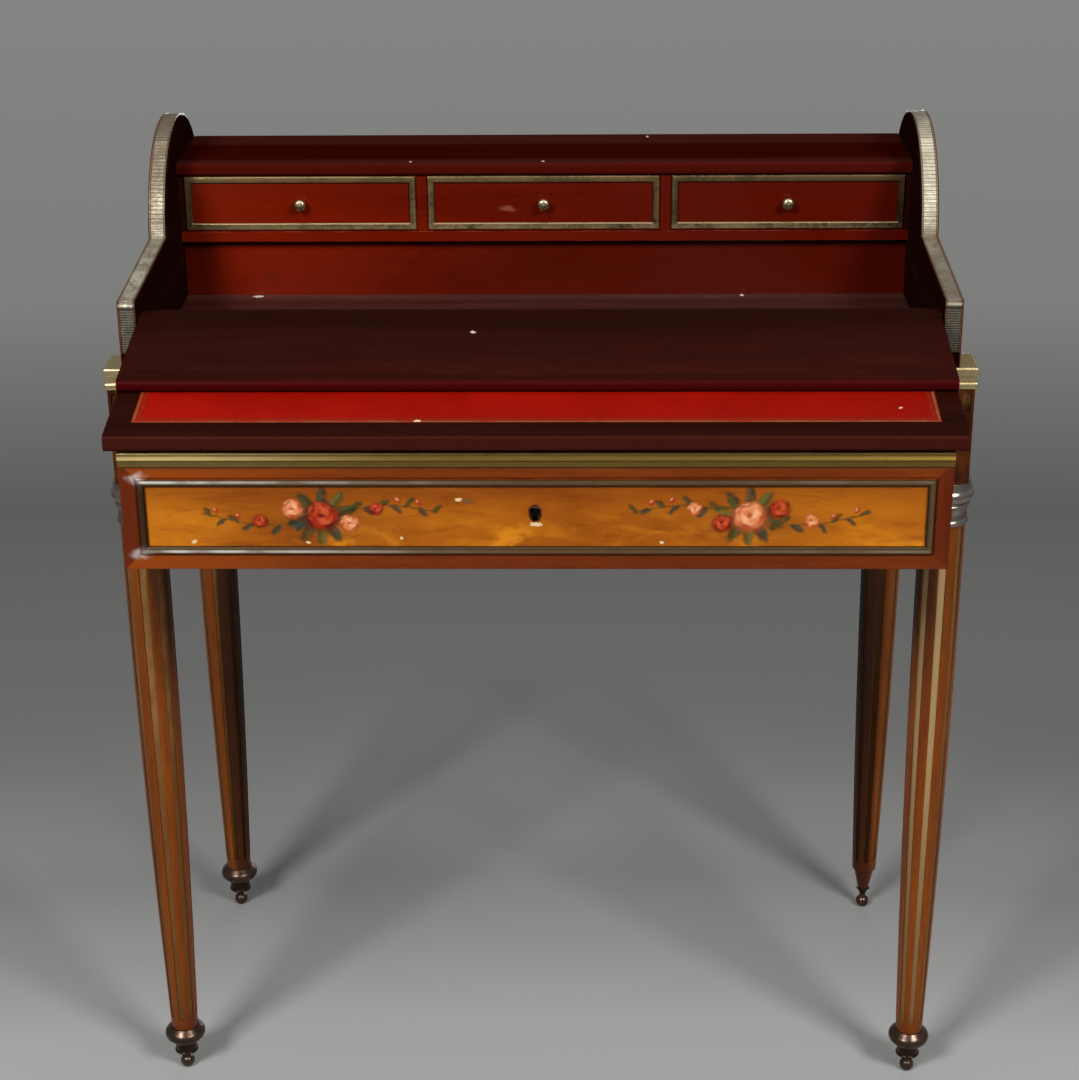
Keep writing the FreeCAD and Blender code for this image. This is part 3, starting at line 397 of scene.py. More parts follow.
def painted(name, with_sprays=False):
    """Golden-yellow painted ground with age marks; the sprays come from the mesh's own paint colours."""
    look = Look(name, Coat_Weight=0.06, Coat_Roughness=0.22, Roughness=0.42, Specular_IOR_Level=0.14)
    cloud = look.noise((9, 9, 26), 5.0, 0.6, 0.5)
    colour = look.toned(cloud, (0.3, (122, 56, 5)), (0.5, (146, 76, 10)), (0.7, (168, 94, 15)))
    x, _, z = look.xyz()
    low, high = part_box("painted_panel")
    painted_light_left_end, right_end = look.remap(x, -0.2, -0.3), look.remap(x, 0.12, 0.24)
    # painted light: the panel is lighter at its left end
    colour = look.tint(colour, painted_light_left_end, (190, 112, 20), 0.6)
    colour = look.tint(colour, right_end, (180, 104, 18), 0.6)
    streaks = look.noise((22, 22, 150), 5.0, 0.65, 0.6)
    colour = look.tint(colour, look.remap(streaks, 0.5, 0.68, 0.0, 0.4), (110, 52, 8))
    gold = look.noise((16, 16, 34), 5.0, 0.6, 0.8, offset=(4, 0, 2))
    lower_part = look.remap(z, high.z - 0.012, low.z + 0.004)
    colour = look.tint(colour, look.times(look.remap(gold, 0.46, 0.74), lower_part), (204, 126, 24))
    # painted shade: the top of the panel is darkened under the moulding's overhang
    painted_shade_top = look.remap(z, high.z - 0.03, high.z - 0.003)
    colour = look.tint(colour, painted_shade_top, (112, 50, 8), 0.45)
    if with_sprays:
        paint = look.node("Attribute", attribute_name="paint").outputs
        rubbed = look.remap(look.noise((55, 55, 110), 5.0, 0.7), 0.52, 0.7, 1.0, 0.45)
        colour = look.mix(look.times(paint["Alpha"], rubbed), colour, paint["Color"])
    # painted shade: a dark patch round the keyhole widens its dark opening
    keyhole = look.dab(look.bent(0.003, 200), KEYHOLE, (0.0054, 0.0078), soft=0.2)
    colour = look.tint(colour, keyhole, (30, 14, 8))
    smudge = look.dab(look.bent(0.006, 150), (-0.0545, 0.6912), (0.0052, 0.0022), -6, 0.6)
    colour = look.tint(colour, smudge, (78, 72, 40), 0.6)
    look.set("Base Color", look.chipped(colour, PAINT_CHIPS, (214, 186, 142), "XZ"))
    plates = look.stretch((1, 1, 1.6), look.bent(0.009, 110))
    crackle = look.node("TexVoronoi", {"Vector": plates, "Scale": 95.0}, feature="DISTANCE_TO_EDGE")
    look.bump(look.remap(crackle.outputs["Distance"], 0.0, 0.05), 0.12, 0.0002)
    return look.material


def floor_paper():
    """Paper with painted shade behind and right of the desk: lit and shaded near it, glowing tones further
    away.
    """
    look = Look("floor_paper", Roughness=0.9, Specular_IOR_Level=0.1)
    reach = look.length(look.stretch((0.5, 1, 1), offset=(0, 0.6, 0)))
    share = look.calc("DIVIDE", reach, FLOOR_SPAN)

    def greys(stops):
        return look.toned(share, *((place / FLOOR_SPAN, (grey, grey, grey - 1)) for place, grey in stops))

    # painted shade: the paper is darker to the right of the desk
    right = look.times(look.remap(look.xyz()[0], 0.3, 0.7), look.band(reach, 0.85, 2.2, 0.15))
    paper = look.tint(greys(LIT_FLOOR), right, (90, 89, 86), 0.25)
    look.set("Base Color", look.mix(look.seen(), linear((92, 92, 91)), paper))
    look.glow(look.remap(reach, 1.1, 1.6), greys(FAR_FLOOR))
    return look.material


# ---- what is special to single pieces ------------------------------------------------------------
def centre(name):
    low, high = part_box(name)
    return (low + high) / 2


def redder_edges(look, colour, tone):
    """The rounded front and ends of the board and the flap are redder than their tops."""
    return look.tint(colour, look.upward(0.93, 0.6), tone, 0.85)


def board_tones(look, colour):
    return redder_edges(look, colour, (58, 20, 14))


def flap_tones(look, colour):
    """The flap is darker towards its back edge, and chipped once."""
    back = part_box("flap")[1].y
    far_half = look.remap(look.xyz()[1], back - 0.09, back - 0.01)
    colour = look.tint(colour, far_half, (18, 2, 0), 0.6)
    return look.chipped(redder_edges(look, colour, (60, 4, 6)), FLAP_CHIPS, CHIP)


def top_board_tones(look, colour):
    """Dark red board: a painted reflection on a paler back strip, a paler front strip, a painted highlight on
    the nosing.
    """
    low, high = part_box("top_board")
    y = look.xyz()[1]
    # painted reflection: a paler strip along the board's back
    painted_reflection_back = look.remap(y, high.y - 0.046, high.y - 0.030)
    front_strip = look.remap(y, low.y + 0.022, low.y + 0.008)
    # painted highlight: the nosing's faces that don't face up are paler
    nosing = look.upward(0.95, 0.5)
    colour = look.tint(colour, 0.9, (44, 4, 1))
    colour = look.tint(colour, painted_reflection_back, (58, 22, 18), 0.8)
    colour = look.tint(colour, front_strip, (60, 24, 20), 0.7)
    colour = look.tint(colour, nosing, (64, 12, 7))
    return look.chipped(colour, TOP_CHIPS, CHIP)


def floor_tones(look, colour):
    """The compartment's floor has painted shadow in front of a paler strip along its back wall."""
    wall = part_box("compartment_back")[0].y
    # painted shadow: the floor darkens forward of the strip by the wall
    ahead = look.remap(look.xyz()[1], wall - 0.004, wall - 0.026)
    colour = look.tint(colour, ahead, (38, 12, 9), 0.6)
    return look.chipped(colour, FLOOR_CHIPS, (206, 196, 184))


def red_tones(look, colour):
    """Red veneer: richer painted light to the left, browner painted shade to the right, a haze by the middle
    knob.
    """
    x = look.xyz()[0]
    # painted light to the left and painted shade to the right
    painted_light_left, painted_shade_right = look.remap(x, -0.05, -0.34), look.remap(x, -0.2, 0.2)
    colour = look.tint(colour, painted_light_left, (110, 23, 2), 0.7)
    haze_z = centre("small_drawer_centre_knob").z - 0.006
    haze = look.dab(look.bent(0.006, 150), (-0.034, haze_z), (0.007, 0.0022), -6, 0.6)
    colour = look.tint(colour, haze, (180, 120, 100), 0.3)
    return look.tint(colour, painted_shade_right, (74, 11, 1), 0.6)


def wall_tones(look, colour):
    """The compartment's wall is red and cloudy, with painted shade from its middle on and in its left corner.
    """
    x = look.xyz()[0]
    # painted shade from the middle rightwards, and the left cheek's painted shadow in the corner
    painted_shade_from_middle, painted_cheek_shadow = look.remap(x, -0.25, 0.0), look.remap(x, -0.30, -0.335)
    clouds = look.remap(look.noise((9, 9, 20), 4.0, 0.6, 1.2, turn=(0, 0.6, 0)), 0.48, 0.66, 0.0, 0.5)
    colour = look.tint(red_tones(look, colour), painted_shade_from_middle, (58, 8, 0), 0.5)
    colour = look.tint(colour, clouds, (66, 10, 0))
    return look.tint(colour, painted_cheek_shadow, (40, 6, 0), 0.6)


def painted_glare_corners(look, colour, cover):
    """Painted whitish glare over the panel frame's two left corners and the wood beside them."""
    low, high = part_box("panel_frame")
    ragged = look.bent(0.012, 120)
    for corner_z in (low.z + 0.001, high.z - 0.001):
        painted_glare = look.dab(ragged, (low.x + 0.001, corner_z), (0.0066, 0.0044), 10, 0.7)
        colour = look.tint(colour, painted_glare, (208, 196, 188), cover)
    return colour


def drawer_front_tones(look, colour):
    """Cross bands at the drawer's ends, mitred against the long bands, and a dark ring of painted shade in
    the keyhole.
    """
    low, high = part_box("panel_frame")
    x, _, z = look.xyz()
    beyond = look.minus(look.absolute(x), high.x)
    above = look.minus(look.absolute(look.minus(z, (low.z + high.z) / 2)), (high.z - low.z) / 2)
    cross_bands = look.remap(look.minus(beyond, above), -0.0004, 0.0004)
    cross_grain = look.toned(look.noise((90, 14, 9), 4.0), (0.35, (76, 25, 4)), (0.65, (94, 34, 7)))
    # painted light: the wood is lighter towards the left
    painted_light_left = look.remap(x, -0.1, -0.33)
    # painted shade: a darker band under the moulding
    painted_shade_under_moulding = look.remap(z, high.z + 0.004, high.z + 0.009)
    # painted shade: the dark hollow of the keyhole
    keyhole = look.dab(look.place, KEYHOLE, (0.0070, 0.0105), soft=0.1)
    colour = look.tint(colour, painted_light_left, (142, 64, 12), 0.7)
    colour = look.mix(cross_bands, colour, cross_grain)
    colour = look.tint(colour, painted_shade_under_moulding, (88, 44, 16), 0.6)
    colour = look.tint(colour, keyhole, (18, 8, 4))
    return painted_glare_corners(look, colour, 0.5)


def cheek_tones(look, colour):
    """The cheeks' outer faces carry the polished orange veneer of the side rails; the inner ones are dull."""
    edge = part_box("cheek_right")[1].x - CHEEK_VENEER
    outside = look.remap(look.absolute(look.xyz()[0]), edge - 0.0003, edge + 0.0003)
    look.set("Coat Weight", look.times(outside, 0.1))
    figure = look.noise((30, 2.6, 30), 5.0, 0.55, 0.9)
    veneer = look.toned(figure, (0.32, (84, 32, 9)), (0.5, (102, 43, 12)), (0.68, (122, 58, 18)))
    return look.mix(outside, colour, veneer)


def leg_tones(look, colour):
    """Painted shade darkens the legs on their inner sides, most of all high up and at the back."""
    x, y, z = look.xyz()
    front_axis, rear_axis = centre("front_right_leg").x, centre("rear_right_leg").x
    rear = look.remap(y, 0.1, 0.2)
    turned_away = look.remap(x, -0.1, 0.1, rear_axis + 0.005 - front_axis, rear_axis + 0.009 - front_axis)
    axis = look.plus(look.times(rear, turned_away), front_axis)
    # painted shade on the inner sides, deepest high up under the drawer and on the rear legs
    inner = look.remap(look.minus(look.absolute(x), axis), 0.0, -0.008)
    shade_depth = look.calc("MAXIMUM", look.remap(z, 0.4, 0.62, 0.12, 0.85), look.times(rear, 0.85))
    colour = look.tint(colour, look.times(inner, shade_depth), (38, 15, 7))
    block_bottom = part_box("leg_collars")[1].z
    in_block = look.remap(z, block_bottom - 0.001, block_bottom + 0.001)
    patches = look.remap(look.noise((60, 60, 40), 4.0), 0.35, 0.65, 0.6, 1.0)
    colour = look.tint(colour, look.times(in_block, patches), (56, 20, 7))
    low_end = look.remap(z, 0.085, 0.045)
    return look.tint(colour, low_end, (74, 34, 14), 0.5)


def flute_tones(look, colour):
    """The lower flutes are darkened to an olive brown, and the front right leg's brass has a painted
    highlight high up.
    """
    x, y, z = look.xyz()
    lower = look.remap(z, 0.56, 0.25)
    colour = look.tint(colour, lower, (128, 80, 38), 0.7)
    across = look.band(x, 0.1, centre("front_right_leg").x + HIGHLIGHT_REACH, 0.003)
    front_right = look.times(across, look.remap(y, 0.1, 0.0))
    # painted highlight on the front right leg's brass
    painted_highlight = look.times(front_right, look.remap(z, 0.12, 0.4, 0.25, 0.75))
    return leg_tones(look, look.tint(colour, painted_highlight, (236, 202, 146)))


def strip_tones(look, colour):
    """Painted shade in the rib valleys, left arch and right arm, painted light on the right arch, brown lips
    and top, a dull foot.
    """
    x, y, z = look.xyz()
    low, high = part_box("cheek_strip_right")
    ahead, up = look.minus(ARCH_CENTRE[0], y), look.minus(z, ARCH_CENTRE[1])
    turn = look.calc("ARCTAN2", up, ahead)
    phase = look.calc("FRACT", look.calc("DIVIDE", look.minus(turn, FIRST_RIB), RIB_STEP))
    # painted shade in the valleys between the ribs
    painted_rib_shade = look.remap(look.absolute(look.minus(phase, 0.5)), 0.28, 0.12)
    on_front = look.times(look.remap(turn, 1.1, 0.95), look.remap(turn, FIRST_RIB - 0.03, FIRST_RIB))
    colour = look.tint(colour, look.times(painted_rib_shade, on_front), (82, 66, 48), 0.75)
    on_left, on_right = look.remap(x, 0.1, -0.1), look.remap(x, -0.1, 0.1)
    # painted shade on the left arch and the right arm
    painted_shade_arch = look.times(on_left, look.remap(turn, 0.1, 0.16))
    painted_shade_arm = look.times(on_right, look.remap(turn, 0.16, 0.1))
    colour = look.tint(colour, look.plus(painted_shade_arch, painted_shade_arm), (112, 98, 78), 0.6)
    # painted light on the right arch
    painted_light_arch = look.times(on_right, look.band(turn, 0.14, 0.8, 0.08))
    colour = look.tint(colour, painted_light_arch, (252, 246, 216), 0.22)
    arch_top = look.remap(turn, 0.75, 1.15)
    colour = look.tint(colour, arch_top, (96, 76, 56), 0.75)
    foot = look.remap(z, NOSE_HEIGHT - 0.002, NOSE_HEIGHT - 0.006)
    colour = look.tint(colour, foot, (48, 41, 31), 0.9)
    off_middle = look.absolute(look.minus(look.absolute(x), (low.x + high.x) / 2))
    half_width = (high.x - low.x) / 2
    lip = look.remap(off_middle, half_width - 0.0022, half_width - 0.0012)
    look.set("Metallic", look.minus(0.7, look.times(look.calc("MAXIMUM", lip, foot), 0.6)))
    return look.tint(colour, lip, (78, 50, 32), 0.85)


def sabot_tones(look, colour):
    """The cups under the sabots' rings are nearly black."""
    cups = look.band(look.xyz()[2], 0.0165, 0.034, 0.0015)
    return look.tint(colour, cups, (52, 36, 28))


def moulding_tones(look, colour):
    """Round and fillet in painted highlight and shade, rubbed yellow at the right end, pale painted glare at
    the left.
    """
    low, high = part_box("drawer_top_moulding")
    x, _, z = look.xyz()
    share = look.calc("DIVIDE", look.minus(z, low.z), high.z - low.z)
    crown = look.band(share, 0.48, 0.74, 0.06)
    painted_light_left_end, right_end = look.remap(x, -0.08, -0.32), look.remap(x, 0.12, 0.33)
    # painted glare: the left end is pale
    pale = look.times(painted_light_left_end, look.remap(share, 0.36, 0.5, 0.25, 0.85))
    colour = look.tint(colour, pale, (226, 196, 130))
    colour = look.tint(colour, look.times(right_end, crown), (188, 150, 66))
    glare_and_rubbing = look.times(look.plus(painted_light_left_end, look.times(right_end, 0.7)), crown)
    look.set("Metallic", look.minus(1.0, look.times(glare_and_rubbing, 0.5)))
    return look.painted_profile_light(colour, share, MOULDING_PAINTED_LIGHT)


def frame_place(look, name, width):
    """The share of a frame's width, and how much nearer a place is to the top or bottom than to a side."""
    high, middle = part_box(name)[1], centre(name)
    x, _, z = look.xyz()
    to_side = look.minus(high.x - middle.x, look.absolute(look.minus(x, middle.x)))
    to_rail = look.minus(high.z - middle.z, look.absolute(look.minus(z, middle.z)))
    share = look.calc("DIVIDE", look.calc("MINIMUM", to_side, to_rail), width)
    return share, look.minus(to_side, to_rail)


def panel_frame_tones(look, colour):
    """Painted silvery glare on the bead, in patches towards the ends, on brass with a dark left side and a
    browner outer edge.
    """
    x = look.xyz()[0]
    inset, beside = frame_place(look, "panel_frame", PANEL_FRAME_WIDTH)
    colour = look.painted_profile_light(colour, inset, PANEL_FRAME_PAINTED_LIGHT)
    rubbed = look.remap(look.noise((25, 25, 60)), 0.35, 0.6, 0.3, 1.0)
    short_sides = look.remap(beside, 0.002, -0.002)
    dark_left = look.times(short_sides, look.remap(x, 0.1, -0.1, 0.1, 0.7))
    colour = look.tint(colour, dark_left, (58, 32, 18))
    bead = look.times(look.band(inset, 0.3, 0.62, 0.1), look.minus(1.0, short_sides))
    towards_ends = look.plus(look.remap(x, 0.0, -0.28), look.remap(x, 0.1, 0.3, 0.0, 0.22))
    # painted glare: a silvery highlight along the bead
    painted_silver_glare = look.times(look.times(rubbed, towards_ends), bead)
    outer_edge = look.remap(inset, 0.3, 0.12)
    colour = look.tint(colour, painted_silver_glare, (206, 206, 194))
    colour = look.tint(colour, outer_edge, (96, 42, 14))
    look.set("Metallic", look.minus(1.0, look.times(painted_silver_glare, 0.7)))
    return painted_glare_corners(look, colour, 0.6)


def small_frame_tones(name):
    """Small drawer frame: browner sides, painted shade at the top and to the right, a painted highlight along
    the bottom.
    """
    def extra(look, colour):
        low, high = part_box(name)
        width = SMALL_FRAME_WIDTH
        x, _, z = look.xyz()
        inset, beside = frame_place(look, name, width)
        colour = look.painted_profile_light(colour, inset, SMALL_FRAME_PAINTED_LIGHT)
        # painted shade along the top and towards the right
        painted_shade_upper_side = look.remap(z, high.z - width * 1.1, high.z - width, 0.0, 0.15)
        short_sides = look.remap(beside, 0.002, -0.002, 0.0, 0.3)
        browner = look.calc("MAXIMUM", painted_shade_upper_side, short_sides)
        browner = look.plus(browner, look.remap(x, -0.1, 0.3, 0.0, 0.35))
        colour = look.tint(colour, browner, (66, 34, 22))
        # painted highlight along the bottom
        painted_highlight_bottom = look.remap(z, low.z + width * 1.1, low.z + width, 0.0, 0.35)
        return look.tint(colour, painted_highlight_bottom, (206, 184, 142))
    return extra


# ---- painted sprays ------------------------------------------------------------------------------
# A stroke: X, Z, half length, half width, angle, colour, cover, softness.
def leaf_strokes(x, z, length, angle, green, cover=0.8):
    """A leaf from its stalk end: a dark body and a lighter upper half."""
    along = Vector((math.cos(math.radians(angle)), math.sin(math.radians(angle))))
    across = Vector((-along.y, along.x))
    middle = Vector((x, z)) + along * length / 2
    lit = middle + across * length * 0.09
    pale = [min(255, c * 1.5 + 16) for c in green]
    return [(middle.x, middle.y, length / 2, length * 0.21, angle, green, cover, 0.3),
            (lit.x, lit.y, length * 0.4, length * 0.08, angle, pale, cover * 0.6, 0.6)]


def rose_strokes(x, z, size, deep, middle, bright):
    """A full-blown rose: two rings of petals round a folded heart."""
    strokes = [(x, z - size * 0.15, size * 1.1, size * 1.0, 0, deep, 0.85, 0.35)]
    ring_colours = ((deep, middle), (middle, bright))
    for ring, (reach, petals) in enumerate(ROSE_RINGS):
        for petal in range(petals):
            turn = 360 / petals * petal + ring * 30 + x * 900
            petal_x = x + size * reach * math.cos(math.radians(turn))
            petal_z = z + size * reach * 0.9 * math.sin(math.radians(turn))
            colour = ring_colours[ring][petal % 2]
            strokes.append((petal_x, petal_z, size * 0.46, size * 0.3, turn + 78, colour, 0.8, 0.35))
            strokes.append((petal_x - size * 0.06, petal_z + size * 0.12, size * 0.26, size * 0.09, turn + 84,
                            bright, 0.55, 0.6))
    strokes.append((x, z, size * 0.2, size * 0.15, 20, deep, 0.9, 0.5))
    return strokes


def stem_z(x):
    return STEM_Z + 0.0085 * math.sin((abs(x) - 0.07) * 33)


def stem_strokes(side):
    """The two trailing stems of one side, with a leaf at every other stroke."""
    strokes = []
    for index in range(STEM_STROKES):
        x = side * (STEM_START + index * STEM_STEP)
        slope = math.degrees(math.atan2(stem_z(x + 0.001 * side) - stem_z(x), 0.001)) * side
        strokes.append((x, stem_z(x), 0.0036, 0.0007, slope, (74, 58, 24), 0.8, 0.4))
        if index % 2 == 0:
            lift = 1 if index % 4 == 0 else -1
            size = 0.0135 - 0.0045 * abs(x - side * SPRAY_X) / 0.09
            outward = 38 * lift if (abs(x) > SPRAY_X) == (side > 0) else 180 - 38 * lift
            turn = outward + 11 * math.sin(index * 2.1)
            strokes += leaf_strokes(x, stem_z(x), size, turn, GREENS[index % 4])
    return strokes


def spray_strokes(side):
    """One side's spray: a bouquet between two trailing stems with leaves and buds."""
    strokes = [(side * SPRAY_X, 0.671, 0.045, 0.012, 0, (110, 58, 20), 0.45, 0.8)] + stem_strokes(side)
    for index, turn in enumerate(BOUQUET):
        x = side * SPRAY_X + 0.008 * math.cos(math.radians(turn))
        z = 0.6785 + 0.005 * math.sin(math.radians(turn))
        strokes += leaf_strokes(x, z, 0.021, turn, GREENS[index % 3], 0.85)
    main, other = (REDS, PEACHES) if side < 0 else (PEACHES, REDS)
    for x, z, size, in_main_colour in ROSES:
        strokes += rose_strokes(side * x, z, size, *(main if in_main_colour else other))
    for x in BUDS:
        bud_z = stem_z(side * x) + 0.005
        strokes += [(side * x, bud_z, 0.0031, 0.0022, 50 * side, REDS[1], 0.85, 0.35),
                    (side * x - 0.0006, bud_z + 0.0008, 0.0016, 0.0009, 50 * side, PEACHES[2], 0.6, 0.6)]
    return strokes


def brushed(strokes, xs, zs):
    """The strokes laid over one another: colour and cover of the paint at each point."""
    paint, cover = np.zeros((len(xs), 3)), np.zeros(len(xs))
    for x, z, long, wide, angle, colour, strength, soft in strokes:
        cos, sin = math.cos(math.radians(angle)), math.sin(math.radians(angle))
        dx, dz = xs - x, zs - z
        reach = np.hypot((dx * cos + dz * sin) / long, (dz * cos - dx * sin) / wide)
        mask = np.clip((1 + soft - reach) / (2 * soft), 0, 1)
        mask = mask * mask * (3 - 2 * mask) * strength
        total = mask + cover * (1 - mask)
        share = np.divide(mask, total, out=np.zeros_like(mask), where=total > 1e-6)[:, None]
        paint = paint * (1 - share) + np.array(linear(colour)[:3]) * share
        cover = total
    return np.column_stack((paint, cover))


def painted_sprays(material):
    """Thin paint layers on both sides of the keyhole, with the sprays brushed into their points."""
    low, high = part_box("painted_panel")
    noise.seed_set(BRUSH_SEED)
    for side, name in ((-1, "painted_spray_left"), (1, "painted_spray_right")):
        xs = np.arange(PAINT_START, high.x - 0.004, PAINT_STEP) * side
        zs = np.arange(low.z + PAINT_MARGIN, high.z - PAINT_MARGIN, PAINT_STEP)
        grid_x, grid_z = (a.ravel() for a in np.meshgrid(xs, zs, indexing="ij"))
        wobble = np.array([noise.noise_vector(Vector((x * WOBBLE_SCALE, 3.0 * side, z * WOBBLE_SCALE)))
                           for x, z in zip(grid_x, grid_z)]) * BRUSH_WOBBLE
        paint = brushed(spray_strokes(side), grid_x + wobble[:, 0], grid_z + wobble[:, 2])
        rows = len(zs)
        faces = [(a * rows + b, (a + 1) * rows + b, (a + 1) * rows + b + 1, a * rows + b + 1)[::side]
                 for a in range(len(xs) - 1) for b in range(rows - 1)]
        mesh = bpy.data.meshes.new(name)
        mesh.from_pydata([(x, low.y - PAINT_LIFT, z) for x, z in zip(grid_x, grid_z)], [], faces)
        layer = mesh.color_attributes.new("paint", "FLOAT_COLOR", "POINT")
        layer.data.foreach_set("color", paint.astype(np.float32).ravel())
        mesh.materials.append(material)
        piece = bpy.data.objects.new(name, mesh)
        scene.collection.objects.link(piece)
        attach(piece, "frieze_drawer")


# ---- finishes ------------------------------------------------------------------------------------
def dress(material, names):
    """Gives the material to the named pieces."""
    for name in names.split():
        slots = nodes[name].data.materials
        slots.clear()
        slots.append(material)


def dark_woods():
    """The boards, the cheeks and the dark lining of the upper part."""
    matt = dict(coat=0.0, wear=0.0, gloss=0.44, level=0.02)
    dress(wood("flap_mahogany", **DARK, **matt, extra=flap_tones), "flap")
    dress(wood("board_mahogany", **BOARD, **matt, extra=board_tones), "writing_board")
    dress(wood("top_board_mahogany", **DARK, gloss=0.16, coat=0.0, level=0.0, wear=0.1,
               extra=top_board_tones),
          "top_board")
    dress(wood("compartment_floor_wood", **DULL, gloss=0.4, wear=0.4, extra=floor_tones), "compartment_floor")
    dress(wood("cheek_mahogany", **NEAR_BLACK, grain="Y", gloss=0.42, level=0.0, wear=0.35, extra=cheek_tones),
          "cheek_left cheek_right")
    dress(wood("stile_mahogany", **DARK, grain="Z", gloss=0.3, wear=0.2), "small_drawer_end_stiles")


def red_woods():
    """The small drawers' fronts and what is round them, and the compartment's wall."""
    dress(wood("red_mahogany_x", **RED, gloss=0.26, wear=0.2, seed=3.0, extra=red_tones),
          "small_drawer_left_front small_drawer_centre_front small_drawer_right_front small_drawer_dividers")
    # the shelf's edges take a painted highlight
    dress(wood("shelf_mahogany", **SHELF_RED_EDGE_HIGHLIGHT, gloss=0.26, wear=1.0, seed=3.0, extra=red_tones),
          "small_drawer_shelf")
    dress(wood("compartment_wall_mahogany", **RED, gloss=0.3, wear=0.2, seed=4.0, extra=wall_tones),
          "compartment_back")


def orange_woods():
    """The frieze and the legs."""
    orange = dict(**ORANGE, gloss=0.3, wear=0.4, seed=5.0)
    dress(wood("drawer_front_mahogany", **orange, extra=drawer_front_tones), "frieze_drawer_front")
    dress(wood("orange_mahogany_x", **orange), "front_rail")
    dress(wood("orange_mahogany_y", **orange, grain="Y"), "side_rail_left side_rail_right")
    dress(wood("leg_mahogany", **LEG, grain="Z", gloss=0.26, wear=0.3, seed=6.0, extra=leg_tones),
          "front_left_leg front_right_leg rear_left_leg rear_right_leg front_stiles")


def pale_woods():
    """The drawers' linings, the runners and the back."""
    plain = dict(**PALE, gloss=0.55, coat=0.0, wear=0.3)
    dress(wood("drawer_lining_x", **plain, seed=8.0),
          "frieze_drawer_back frieze_drawer_bottom rear_rail back_panel")
    dress(wood("drawer_lining_y", **plain, grain="Y", seed=9.0),
          "frieze_drawer_side_left frieze_drawer_side_right drawer_runner_left drawer_runner_right "
          "small_drawer_left_tray small_drawer_centre_tray small_drawer_right_tray")


def case_metals():
    """The mounts of the case, the legs and the lock."""
    dress(metal("aged_brass", **BRASS, shine=0.24),
          "rear_corner_caps side_cornices board_guide_pins flap_pivot_pins")
    dress(metal("cap_brass", **CAP_BRASS, shine=0.36, patchy=0.5), "front_corner_caps")
    dress(metal("flute_brass", **FLUTE_BRASS, shine=0.36, blotch=22.0, grain=(1, 1, 0.3), patchy=0.8,
                extra=flute_tones),
          "front_leg_flute_linings rear_leg_flute_linings block_flute_linings")
    dress(metal("silvered_brass", **SILVERED, shine=0.36, reach=0.0016, patchy=0.85, blotch=40.0,
                metallic=0.7, extra=strip_tones),
          "cheek_strip_left cheek_strip_right")
    dress(metal("dark_bronze", **BRONZE, shine=0.22, blotch=80.0, patchy=0.95, metallic=0.85,
                extra=sabot_tones),
          "leg_sabots ball_feet rear_right_ferrule")
    dress(metal("collar_metal", **COLLAR, shine=0.18, blotch=60.0), "leg_collars")
    dress(metal("lock_steel", **STEEL, shine=0.32), "lock_case lock_bolt")


def drawer_metals():
    """The mouldings, frames and knobs of the drawers."""
    dress(metal("moulding_brass", **MOULDING_BRASS, shine=0.34, grain=(0.25, 1, 1), extra=moulding_tones),
          "drawer_top_moulding")
    dress(metal("panel_frame_brass", **PANEL_FRAME_BRASS, shine=0.34, extra=panel_frame_tones), "panel_frame")
    dress(metal("knob_brass", **KNOB_BRASS, shine=0.22, blotch=140.0),
          "small_drawer_left_knob small_drawer_centre_knob small_drawer_right_knob")
    for place in ("left", "centre", "right"):
        frame_name = f"small_drawer_{place}_frame"
        dress(metal(f"small_frame_brass_{place}", **SMALL_FRAME_BRASS, extra=small_frame_tones(frame_name)),
              frame_name)


def finishes():
    for group in (dark_woods, red_woods, orange_woods, pale_woods, case_metals, drawer_metals):
        group()
    dress(leather(), "leather_panel")
    dress(painted("painted_ground"), "painted_panel")
    painted_sprays(painted("painted_ground_with_sprays", with_sprays=True))


# ---- camera, floor and light ---------------------------------------------------------------------
def make_camera():
    pitch, yaw, roll = (math.radians(angle) for angle in (CAMERA_PITCH, CAMERA_YAW, CAMERA_ROLL))
    forward = Vector((math.sin(yaw) * math.cos(pitch), math.cos(yaw) * math.cos(pitch), -math.sin(pitch)))
    right = Vector((math.cos(yaw), -math.sin(yaw), 0))
    up = right.cross(forward)
    right_rolled = right * math.cos(roll) + up * math.sin(roll)
    up_rolled = up * math.cos(roll) - right * math.sin(roll)
    camera = bpy.data.objects.new("camera", bpy.data.cameras.new("camera"))
    camera.data.lens = LENS
    camera.data.sensor_width = SENSOR_WIDTH
    turn = Matrix((right_rolled, up_rolled, -forward)).transposed()
    camera.matrix_world = Matrix.Translation(CAMERA_PLACE) @ turn.to_4x4()
    scene.collection.objects.link(camera)
    scene.camera = camera


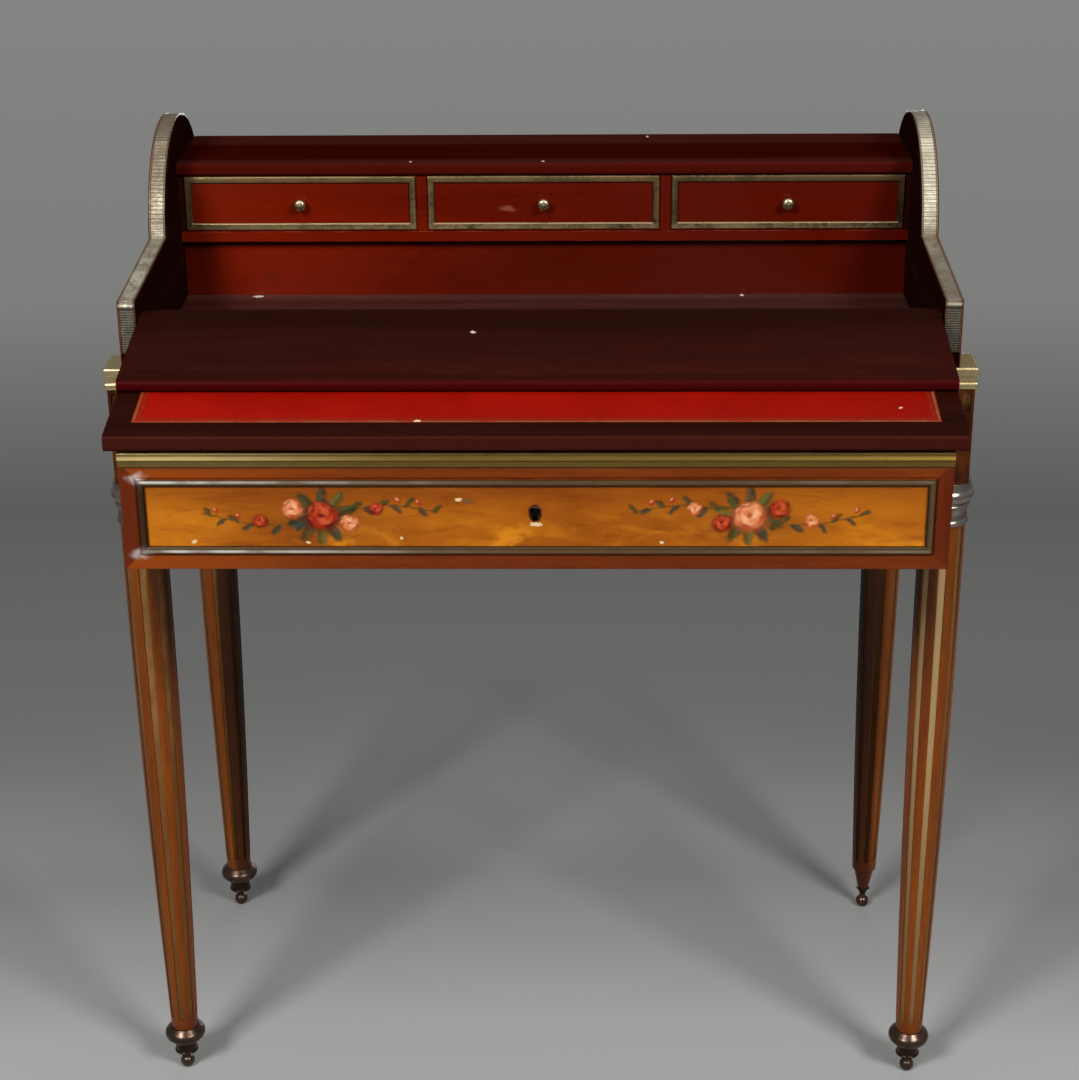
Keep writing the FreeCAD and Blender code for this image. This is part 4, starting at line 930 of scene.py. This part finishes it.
def stage():
    """A round floor, with finer rings near the desk."""
    points = [(0, 0, 0)]
    for ring in range(1, FLOOR_RINGS + 1):
        radius = FLOOR_RADIUS * (ring / FLOOR_RINGS) ** 1.6
        for side in range(FLOOR_SIDES):
            angle = 2 * math.pi * side / FLOOR_SIDES
            points.append((radius * math.cos(angle), radius * math.sin(angle), 0))
    faces = [(0, 1 + side, 1 + (side + 1) % FLOOR_SIDES) for side in range(FLOOR_SIDES)]
    for ring in range(FLOOR_RINGS - 1):
        inner = 1 + ring * FLOOR_SIDES
        outer = inner + FLOOR_SIDES
        for side in range(FLOOR_SIDES):
            following = (side + 1) % FLOOR_SIDES
            faces.append((inner + side, outer + side, outer + following, inner + following))
    mesh = bpy.data.meshes.new("floor")
    mesh.from_pydata(points, [], faces)
    floor = bpy.data.objects.new("floor", mesh)
    scene.collection.objects.link(floor)
    mesh.materials.append(floor_paper())


def area_light(name, place, target, size, power):
    lamp = bpy.data.lights.new(name, "AREA")
    lamp.shape = "RECTANGLE"
    lamp.size, lamp.size_y = size
    lamp.energy = power
    holder = bpy.data.objects.new(name, lamp)
    holder.location = place
    holder.rotation_mode = "QUATERNION"
    holder.rotation_quaternion = (Vector(target) - Vector(place)).to_track_quat("-Z", "Y")
    scene.collection.objects.link(holder)


def light():
    """Four softboxes, and a world that lights dimly, paler low down and in front, and shows an even grey."""
    world = bpy.data.worlds.new("studio")
    scene.world = world
    world.use_nodes = True
    sky = Tree(world.node_tree)
    way = sky.node("SeparateXYZ", {0: sky.node("TexCoord").outputs["Generated"]}).outputs
    low_down = sky.remap(way["Z"], 0.08, 0.2, 1.0, 0.0)
    in_front = sky.remap(way["Y"], -0.4, 0.2, 1.0, 0.0)
    dim = sky.tint(linear(DIM_SKY), sky.calc("MAXIMUM", low_down, in_front), PALE_SKY)
    sky.join(sky.tint(dim, sky.seen(), BACKDROP), world.node_tree.nodes["Background"].inputs[0])
    for softbox in SOFTBOXES:
        area_light(*softbox)


scene.view_settings.view_transform = "Standard"
make_camera()
stage()
light()
finishes()
